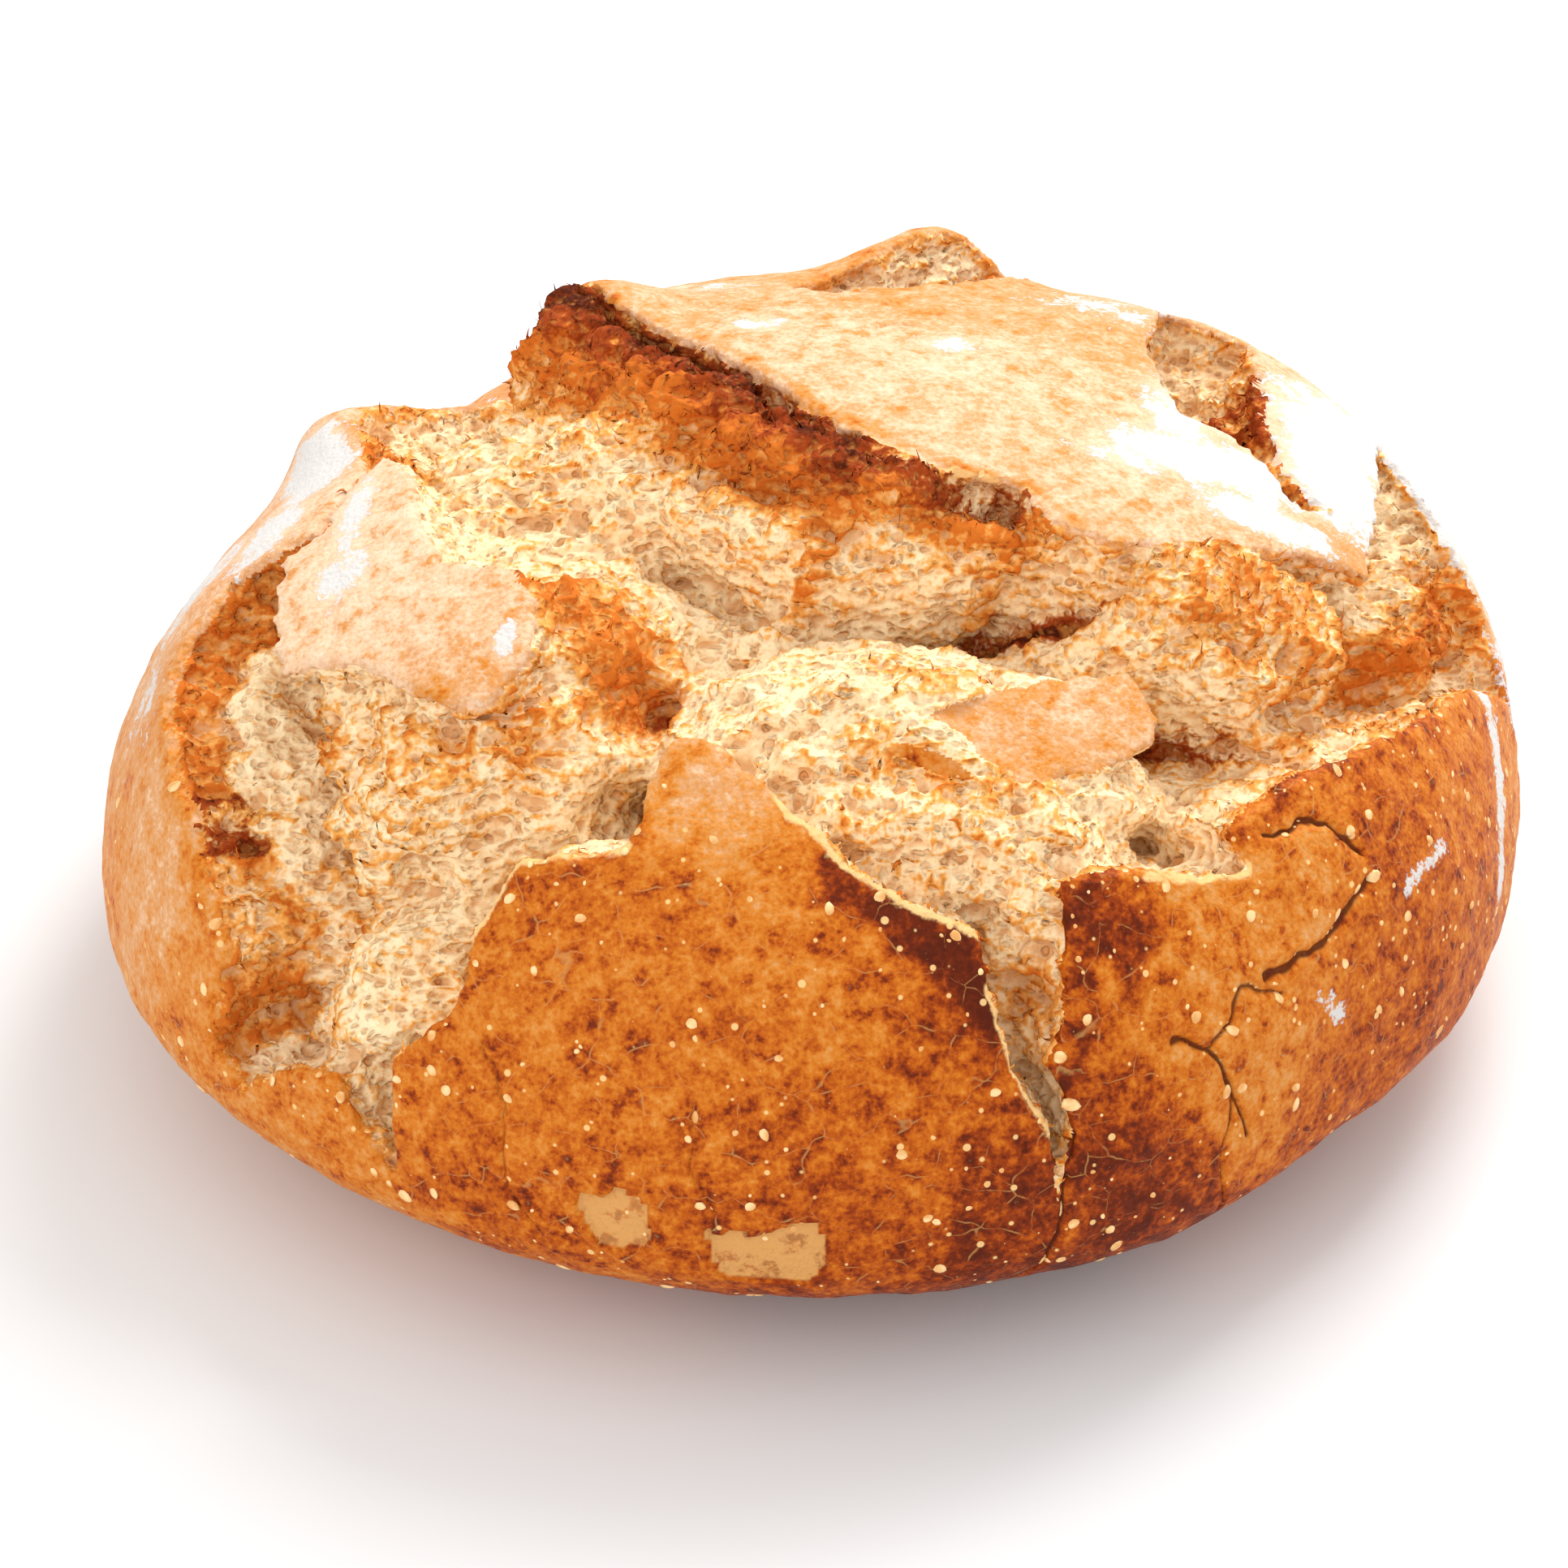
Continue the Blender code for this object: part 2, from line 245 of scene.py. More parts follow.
@dataclass(frozen=True)
class Outline:
    """A closed torn line on the map, counter-clockwise from above, and how it frays."""

    corners: tuple[tuple[float, float], ...]
    step: float = 6.0
    ragged: float = 1.4
    ragged_length: float = 9.0
    fine_step: float = 1.2
    fray: float = 0.9
    fray_length: float = 3.4
    hair: float = 0.4
    hair_length: float = 1.5

    def points(self) -> Array:
        """The torn line: main corners, then waves between them, then finer fraying."""
        rough = self._divided(np.asarray(self.corners, dtype=float), self.step)
        flat = np.column_stack([rough, np.zeros(len(rough))])
        moved = rough + self.ragged * Noise.warp(flat, self.ragged_length)[:, :2]
        kept = {tuple(corner) for corner in np.asarray(self.corners, dtype=float).tolist()}
        waves = np.array([old if tuple(old) in kept else new
                          for old, new in zip(rough.tolist(), moved.tolist())])
        fine = self._divided(waves, self.fine_step)
        flat = np.column_stack([fine, np.zeros(len(fine))])
        fine = fine + self.fray * Noise.warp(flat, self.fray_length, Patch.FRAY)[:, :2]
        return fine + self.hair * Noise.warp(flat, self.hair_length, Patch.HAIR)[:, :2]

    @staticmethod
    def _divided(corners: Array, step: float) -> Array:
        """A closed line with points at most about a step apart."""
        points = []
        for start, end in zip(corners, np.roll(corners, -1, axis=0)):
            count = max(1, round(float(np.hypot(*(end - start))) / step))
            points += [start + (end - start) * index / count for index in range(count)]
        return np.array(points)

    @staticmethod
    def holds(line: Array, u: Array, v: Array) -> Array:
        """Which map points lie inside a closed line."""
        hit = np.zeros(u.shape, dtype=bool)
        for (u0, v0), (u1, v1) in zip(line, np.roll(line, -1, axis=0)):
            if v0 == v1:
                continue
            spans = (v0 > v) != (v1 > v)
            hit ^= spans & (u < u0 + (v - v0) / (v1 - v0) * (u1 - u0))
        return hit


TEARS: dict[str, Outline] = {
    "mouth": Outline((
        (-86, -133), (-79, -117), (-66, -115), (-61, -106), (-52, -97), (-40, -100), (-33, -100),
        (-30, -91), (-25, -84), (-16, -87), (-7, -95), (3, -104), (14, -109), (27, -112), (30, -120),
        (35, -129), (43, -136), (48, -150), (47, -134), (41, -128), (44, -121), (42, -103), (52, -99),
        (68, -95), (77, -90), (73, -86), (82, -75), (93, -64), (106, -50), (119, -33), (125, -20),
        (143, 2), (132, 16), (122, 24), (116, 34), (108, 48), (106, 30), (105, 6), (102, -16),
        (90, -20), (74, -27), (58, -36), (48, -35), (41, -26), (24, -22), (10, -14), (3, -7),
        (-10, 10), (-23, 28), (-38, 42), (-47, 60), (-44, 80), (-37, 97), (-39, 113), (-28, 138),
        (-45, 117), (-47, 98), (-57, 85), (-70, 74), (-84, 62), (-92, 44), (-91, 14), (-96, -8),
        (-109, -10), (-116, -22), (-118, -38), (-111, -62), (-110, -86), (-122, -95), (-119, -104),
        (-104, -108), (-93, -114), (-91, -124),
    )),
    "right_crack": Outline((
        (65, 45), (68, 30), (71, 16), (79, 13), (86, 5), (90, -5), (97, -2), (89, 5), (87, 20),
        (86, 40), (83, 64), (74, 69), (66, 66),
    )),
    "back_tear": Outline((
        (-6, 66), (4, 58), (18, 64), (32, 68), (44, 78), (57, 91), (64, 106), (80, 124), (58, 111),
        (49, 98), (36, 88), (22, 80), (8, 76),
    )),
}


@dataclass(frozen=True)
class Island:
    """A patch of crust left in the torn mouth: its edge, the height of its top, and where it is."""

    outline: Outline
    top: float
    middle: tuple[float, float]
    reach: float


ISLANDS: dict[str, Island] = {
    "left_island": Island(Outline((
        (-84, 12), (-90, 2), (-91, -12), (-98, -16), (-97, -34), (-95, -47), (-84, -52), (-77, -57),
        (-66, -68), (-58, -71), (-51, -64), (-51, -52), (-58, -42), (-69, -36), (-74, -22), (-77, -6),
    )), 1.5, (-78.0, -28.0), 60.0),
    "centre_island": Island(Outline((
        (10, -85), (22, -90), (34, -90), (48, -85), (60, -79), (66, -70), (60, -62), (50, -66),
        (39, -71), (24, -78),
    )), -6.0, (38.0, -76.0), 50.0),
}


@dataclass(frozen=True)
class CrumbField:
    """Height of the torn crumb over the skin: a floor, lumps, hollows, pleats, folds and crags."""

    floor: float = -26.0
    top: float = -3.0
    brim: float = -0.6
    lumps: tuple[Bump, ...] = (
        Bump(22, -88, 56, 28, 20), Bump(-84, -54, 22, 50, 19), Bump(-57, -60, 20, 34, 19),
        Bump(80, -38, 27, 22, 24), Bump(100, -60, 22, 14, 16), Bump(124, 4, 16, 20, 18),
        Bump(8, -8, 54, 38, 16), Bump(-64, 22, 40, 38, 17), Bump(-54, 66, 22, 20, 14),
        Bump(-116, -50, 11, 46, 16), Bump(-98, -114, 24, 18, 16), Bump(44, -122, 12, 22, 12),
        Bump(78, 30, 14, 30, 12), Bump(18, 72, 30, 16, 12), Bump(-42, 106, 16, 30, 12),
        Bump(56, 100, 22, 30, 13), Bump(-39, -72, 6, 9, -7), Bump(-43, -93, 8, 8, -9),
        Bump(-84, -92, 9, 6, -7), Bump(50, -42, 14, 7, -8), Bump(80, -65, 14, 6, -12),
        Bump(74, -90, 8, 5, -6),
    )
    fold_height: float = 1.3
    fold_spacing: float = 13.0
    fold_drift: float = 1.5
    drift_length: float = 68.0
    crag_height: float = 2.4
    crag_length: float = 17.0
    banks: tuple[Stroke, ...] = (
        Stroke(((-54, 56), (-45, 38), (-31, 22), (-18, 4), (-4, -12), (8, -20)), 11.0, 8.5),
        Stroke(((8, -20), (24, -27), (40, -31)), 6.0, 6.5), Bump(82, -34, 20, 12, 4.5),
        Stroke(((-30, -16), (-13, -31), (6, -37), (28, -36), (44, -34)), 6.0, 4.0),
        Stroke(((-40, -22), (-28, -34), (-14, -44), (2, -48), (24, -50), (50, -43)), 5.0, -7.0),
        Stroke(((-104, -22), (-106, -45), (-102, -66), (-100, -84)), 4.6, -11.0),
        Stroke(((74, -63), (86, -61), (98, -51)), 5.0, -11.0),
        Bump(-41, -73, 6, 6, -9), Bump(-44, -92, 6, 5, -10), Stroke(((49, -39), (60, -42)), 3.4, -10.0),
    )
    pleats: tuple[Stroke, ...] = (
        Stroke(((-12, -48), (-4, -43), (5, -36), (12, -29), (21, -21), (29, -22)), 3.2, 4.0),
        Stroke(((-30, -58), (-18, -56), (0, -62), (18, -64), (34, -60)), 3.0, 2.2),
        Stroke(((-22, -70), (-4, -75), (14, -77), (30, -72)), 2.6, 1.8),
        Stroke(((-6, -88), (10, -92), (30, -97), (46, -96)), 2.6, 1.6),
        Stroke(((-2, -48), (14, -52), (34, -46), (52, -45)), 2.6, -2.2),
        Stroke(((-26, -64), (-8, -68), (12, -70), (24, -68)), 2.2, -1.8),
        Stroke(((-70, 36), (-58, 20), (-50, 4), (-40, -12)), 3.4, 2.0),
        Stroke(((-62, 42), (-48, 36), (-36, 10)), 3.0, -2.6),
        Stroke(((66, -50), (76, -44), (88, -38), (100, -30)), 3.0, 1.8),
    )

    def at(self, u: Array, v: Array) -> Array:
        """Height over the skin at map points."""
        height = self.floor + total(self.lumps, u, v, 2.0)
        flat = np.stack([u, v, np.zeros_like(u)], axis=-1)
        drift = Noise.fractal(flat, self.drift_length)
        turns = v / self.fold_spacing + self.fold_drift * drift
        folds = self.fold_height * np.sin(2.0 * math.pi * turns)
        crags = self.crag_height * Noise.fractal(flat, self.crag_length)
        forms = total(self.banks, u, v, 2.0) + total(self.pleats, u, v)
        return np.minimum(np.minimum(height, self.top) + folds + crags + forms, self.brim)


@dataclass(frozen=True)
class RimMap:
    """How far every map point is inside the openings (above 0) or outside them (below 0)."""

    lines: tuple[Array, ...]
    half_span: float = 170.0
    step: float = 0.5

    def grid(self) -> Array:
        """Signed distances on a square grid over the map."""
        count = int(2 * self.half_span / self.step) + 1
        ticks = np.linspace(-self.half_span, self.half_span, count)
        rims = np.vstack(self.lines)
        tree = KDTree(len(rims))
        for index, (u, v) in enumerate(rims.tolist()):
            tree.insert((u, v, 0.0), index)
        tree.balance()
        coarse = ticks[::2]
        distance = np.array([[tree.find((u, v, 0.0))[2] for u in coarse.tolist()]
                             for v in coarse.tolist()])
        wide = np.array([np.interp(ticks, coarse, row) for row in distance])
        wide = np.array([np.interp(ticks, coarse, column) for column in wide.T]).T
        held = np.zeros((count, count), dtype=bool)
        for line in self.lines:
            for row, v in enumerate(ticks):
                after = np.roll(line, -1, axis=0)
                spans = (line[:, 1] > v) != (after[:, 1] > v)
                first = line[spans]
                second = after[spans]
                cuts = np.sort(first[:, 0] + (v - first[:, 1]) / (second[:, 1] - first[:, 1])
                               * (second[:, 0] - first[:, 0]))
                held[row] ^= (np.searchsorted(cuts, ticks) % 2).astype(bool)
        return np.where(held, wide, -wide)

    def sample(self, grid: Array, u: Array, v: Array) -> Array:
        """Signed distances at map points."""
        count = grid.shape[0]
        column = np.clip((u + self.half_span) / self.step, 0, count - 1.001)
        row = np.clip((v + self.half_span) / self.step, 0, count - 1.001)
        left = column.astype(int)
        low = row.astype(int)
        across = column - left
        up = row - low
        return ((grid[low, left] * (1 - across) + grid[low, left + 1] * across) * (1 - up)
                + (grid[low + 1, left] * (1 - across) + grid[low + 1, left + 1] * across) * up)


def store(mesh: bpy.types.Mesh, name: str, values: Array) -> None:
    """Keep a number or a place for every point of a mesh under a name."""
    kind, item = ("FLOAT_VECTOR", "vector") if values.ndim == 2 else ("FLOAT", "value")
    layer = mesh.attributes.new(name, kind, "POINT")
    layer.data.foreach_set(item, values.astype(np.float32).ravel())


def stand(name: str, mesh: bpy.types.Mesh) -> bpy.types.Object:
    """An object that shows a mesh in the scene."""
    piece = bpy.data.objects.new(name, mesh)
    bpy.context.scene.collection.objects.link(piece)
    return piece


@dataclass
class Surface:
    """The loaf's outer surface: a Blender mesh and what is known of each of its points."""

    mesh: bpy.types.Mesh
    points: Array = field(init=False)
    normals: Array = field(init=False)
    edges: Array = field(init=False)

    def __post_init__(self) -> None:
        """Read the points and edges, and work out the normals."""
        self.points = self.read(self.mesh.vertices, "co", 3).astype(float) / MM
        self.edges = self.read(self.mesh.edges, "vertices", 2, np.int32)
        self.normals = self.read(self.mesh.vertex_normals, "vector", 3).astype(float)

    @staticmethod
    def read(items, name: str, width: int, kind: type = np.float32) -> Array:
        """One property of all the items of a mesh as an array."""
        values = np.empty(len(items) * width, dtype=kind)
        items.foreach_get(name, values)
        return values.reshape(-1, width) if width > 1 else values

    def move(self, points: Array) -> None:
        """Put the points in new places and work out the normals again."""
        self.points = points
        self.mesh.vertices.foreach_set("co", (points * MM).astype(np.float32).ravel())
        self.mesh.update()
        self.normals = self.read(self.mesh.vertex_normals, "vector", 3).astype(float)

    def smoothed(self, values: Array, passes: int) -> Array:
        """Values averaged with those of their neighbours, several times over."""
        first, second = self.edges[:, 0], self.edges[:, 1]
        count = len(self.points)
        share = np.bincount(first, minlength=count) + np.bincount(second, minlength=count) + 1.0
        flat = values.reshape(count, -1).astype(float)
        for _ in range(passes):
            flat = np.column_stack([
                (flat[:, column]
                 + np.bincount(first, flat[second, column], count)
                 + np.bincount(second, flat[first, column], count)) / share
                for column in range(flat.shape[1])])
        return flat.reshape(values.shape)

    def standing_out(self, passes: int) -> Array:
        """How far every point stands out of its smoothed surroundings, in millimetres."""
        level = self.smoothed(self.points, passes)
        return np.einsum("ij,ij->i", self.points - level, self.normals)


@dataclass(frozen=True)
class LoafBody:
    """The loaf as one closed body: skin, torn openings, crumb and islands of crust."""

    skin: Skin = Skin()
    crumb: CrumbField = CrumbField()
    skin_subdivisions: int = 7
    crumb_subdivisions: int = 8
    fill_step: float = 5.0
    tear_top: float = 16.0
    tear_bottom: float = -46.0
    island_bottom: float = -24.0
    hidden_crumb: float = -5.0
    hidden_floor: float = 2.0
    crumb_margin: float = 12.0
    wall_levels: tuple[float, ...] = (0.0, -1.5, -3.5, -6.0, -9.0, -13.0, -18.0, -26.0)
    sway: float = 2.4
    sway_length: float = 13.0
    sway_depth: float = 4.0
    grain: float = 1.05
    map_rounding: float = 0.0001

    def build(self) -> tuple[bpy.types.Mesh, tuple[Array, ...]]:
        """Join everything and lay an even net of faces over it.

        Returns:
            The mesh and the fine torn lines on the map.
        """
        filling = bpy.data.collections.new("filling")
        cutters = bpy.data.collections.new("cutters")
        lines = {name: outline.points() for name, outline in TEARS.items()}
        for collection in (filling, cutters):
            bpy.context.scene.collection.children.link(collection)
        for name, line in lines.items():
            self._plug(name, line, self.tear_top, self.tear_bottom, cutters)
        islands = {name: island.outline.points() for name, island in ISLANDS.items()}
        for name, island in ISLANDS.items():
            self._plug(name, islands[name], island.top, self.island_bottom, filling)
        near = RimMap(tuple(lines.values()), step=1.0)
        grid = near.grid()
        self._ball("crumb_body", self.crumb_subdivisions, near, grid, filling)
        body = self._ball("skin_body", self.skin_subdivisions, None, None,
                          bpy.context.scene.collection)
        for operation, collection in (("DIFFERENCE", cutters), ("UNION", filling)):
            modifier = body.modifiers.new(operation.lower(), "BOOLEAN")
            modifier.operation = operation
            modifier.operand_type = "COLLECTION"
            modifier.collection = collection
            modifier.solver = Solver.FAST.value
        net = body.modifiers.new("net", "REMESH")
        net.mode = "VOXEL"
        net.voxel_size = self.grain * MM
        bpy.context.view_layer.update()
        found = body.evaluated_get(bpy.context.evaluated_depsgraph_get())
        mesh = bpy.data.meshes.new_from_object(found)
        for piece in [body] + list(filling.objects) + list(cutters.objects):
            bpy.data.objects.remove(piece, do_unlink=True)
        for collection in (filling, cutters):
            bpy.data.collections.remove(collection)
        return mesh, tuple(lines.values()) + tuple(islands.values())

    def _swayed(self, flat: Array, level: float) -> Array:
        """Map points of a wall at a height over the skin, pushed about below it."""
        deep = float(np.clip(-level / self.sway_depth, 0.0, 1.0))
        if deep == 0.0:
            return flat
        here = np.column_stack([flat, np.full(len(flat), level)])
        return flat + deep * self.sway * Noise.warp(here, self.sway_length, Patch.SWAY)[:, :2]

    def _plug(self, name: str, line: Array, top: float, bottom: float,
              collection: bpy.types.Collection) -> None:
        """A closed body between two heights over the skin, with a torn line as its side."""
        low, high = line.min(axis=0), line.max(axis=0)
        grid_u, grid_v = np.meshgrid(np.arange(low[0], high[0], self.fill_step),
                                     np.arange(low[1], high[1], self.fill_step))
        grid = np.column_stack([grid_u.ravel(), grid_v.ravel()])
        grid[:, 0] += (np.round((grid[:, 1] - low[1]) / self.fill_step) % 2) * self.fill_step / 2.0
        tree = KDTree(len(line))
        for index, (u, v) in enumerate(line.tolist()):
            tree.insert((u, v, 0.0), index)
        tree.balance()
        clear = np.array([tree.find((u, v, 0.0))[2] for u, v in grid.tolist()]) > self.fill_step / 2.0
        grid = grid[clear & Outline.holds(line, grid[:, 0], grid[:, 1])]
        vectors = [Vector(point) for point in np.vstack([line, grid]).tolist()]
        filled = delaunay_2d_cdt(vectors, [], [list(range(len(line)))], 1, self.map_rounding)
        flat = np.array([tuple(point) for point in filled[0]])
        count = len(flat)
        faces = [tuple(face) for face in filled[2]]
        sides = {side for face in faces for side in zip(face, face[1:] + face[:1])}
        rims = sorted(side for side in sides if side[::-1] not in sides)
        rim_points = sorted({index for side in rims for index in side})
        ring_place = {index: place for place, index in enumerate(rim_points)}
        between = [level for level in self.wall_levels if bottom < level < top]
        rings = [self.skin.place(*self._swayed(flat[rim_points], level).T, level)
                 for level in between]
        ends = [self.skin.place(flat[:, 0], flat[:, 1], top),
                self.skin.place(*self._swayed(flat, bottom).T, bottom)]

        def index_at(level: int, corner: int) -> int:
            """Number of a wall corner on a level, counted from the top."""
            if level == 0:
                return corner
            if level == len(between) + 1:
                return corner + count
            return 2 * count + (level - 1) * len(rim_points) + ring_place[corner]

        walls = [(index_at(level, b), index_at(level, a),
                  index_at(level + 1, a), index_at(level + 1, b))
                 for level in range(len(between) + 1) for a, b in rims]
        under = [tuple(index + count for index in reversed(face)) for face in faces]
        mesh = bpy.data.meshes.new(name)
        mesh.from_pydata((np.vstack(ends + rings) * MM).tolist(), [], faces + under + walls)
        self._close(mesh)
        collection.objects.link(bpy.data.objects.new(name, mesh))

    def _ball(self, name: str, subdivisions: int, near: RimMap | None, grid: Array | None,
              collection: bpy.types.Collection) -> bpy.types.Object:
        """The skin body, or the crumb body where the distances to the tears are given."""
        body = bmesh.new()
        bmesh.ops.create_icosphere(body, subdivisions=subdivisions, radius=1.0)
        mesh = bpy.data.meshes.new(name)
        body.to_mesh(mesh)
        body.free()
        ways = Surface(mesh).points * MM
        tilt = np.arccos(np.clip(ways[:, 2], -1.0, 1.0))
        bearing = np.arctan2(ways[:, 1], ways[:, 0])
        reach = tilt / (math.pi / 2.0) * self.skin.quarter
        u, v = reach * np.cos(bearing), reach * np.sin(bearing)
        height = np.zeros_like(u)
        if near is not None:
            height[:] = self.hidden_crumb
            open_here = near.sample(grid, u, v) > -self.crumb_margin
            open_here &= reach < near.half_span
            height[open_here] = self.crumb.at(u[open_here], v[open_here])
        places = self.skin.place(u, v, height) * MM
        mesh.vertices.foreach_set("co", places.astype(np.float32).ravel())
        mesh.update()
        floor = 0.0 if near is None else self.hidden_floor
        body = bmesh.new()
        body.from_mesh(mesh)
        cut = bmesh.ops.bisect_plane(body, geom=body.verts[:] + body.edges[:] + body.faces[:],
                                     dist=1e-6, plane_co=(0.0, 0.0, floor * MM),
                                     plane_no=(0.0, 0.0, 1.0), clear_inner=True)
        rim = [item for item in cut["geom_cut"] if isinstance(item, bmesh.types.BMEdge)]
        bmesh.ops.contextual_create(body, geom=rim)
        body.to_mesh(mesh)
        body.free()
        self._close(mesh)
        piece = bpy.data.objects.new(name, mesh)
        collection.objects.link(piece)
        return piece

    @staticmethod
    def _close(mesh: bpy.types.Mesh) -> None:
        """Turn every face of a closed mesh outwards."""
        body = bmesh.new()
        body.from_mesh(mesh)
        bmesh.ops.recalc_face_normals(body, faces=body.faces)
        body.to_mesh(mesh)
        body.free()


@dataclass(frozen=True)
class Foam:
    """Torn pores of one size: hollows of uneven depth with thin walls left between them."""

    cell: float
    depth: float
    wall: float
    share: float
    shift: float
    stretch: Colour = (0.72, 1.0, 1.3)
    sway: float = 0.35
    sway_length: float = 1.4
    hash_ways: Colour = (12.99, 78.23, 37.72)
    hash_size: float = 43758.5

    def height(self, points: Array) -> Array:
        """How far each point lies below the tops of the walls, as a height below 0."""
        place = points * np.array(self.stretch)
        place = place + self.sway * self.cell * Noise.warp(
            points, self.sway_length * self.cell, self.shift + Patch.PORE)
        distances, middles = Noise.cells(place, self.cell, self.shift)
        hashed = np.sin(middles @ np.array(self.hash_ways)) * self.hash_size
        chance = hashed - np.floor(hashed)
        share = np.clip((chance - (1.0 - self.share)) / self.share, 0.0, 1.0)
        walls = smooth_step(distances[:, 1] - distances[:, 0], 0.04, self.wall)
        return -self.depth * (0.35 + 0.65 * share) * (chance > 1.0 - self.share) * walls


class Mark(Enum):
    """What is known of every point of the surface, as the finishes read it."""

    BAKE = "bake"
    FLOUR = "flour"
    LIP = "lip"
    CRACK = "crack"
    CHIP = "chip"
    HEAT = "toasted"
    # Charred crumb, together with painted shade in the crumb's deepest gaps.
    CHAR_AND_GAP_SHADE = "charred"
    # How hollow a point is, which the crumb's painted shade follows.
    HOLLOW_SHADE = "pitted"


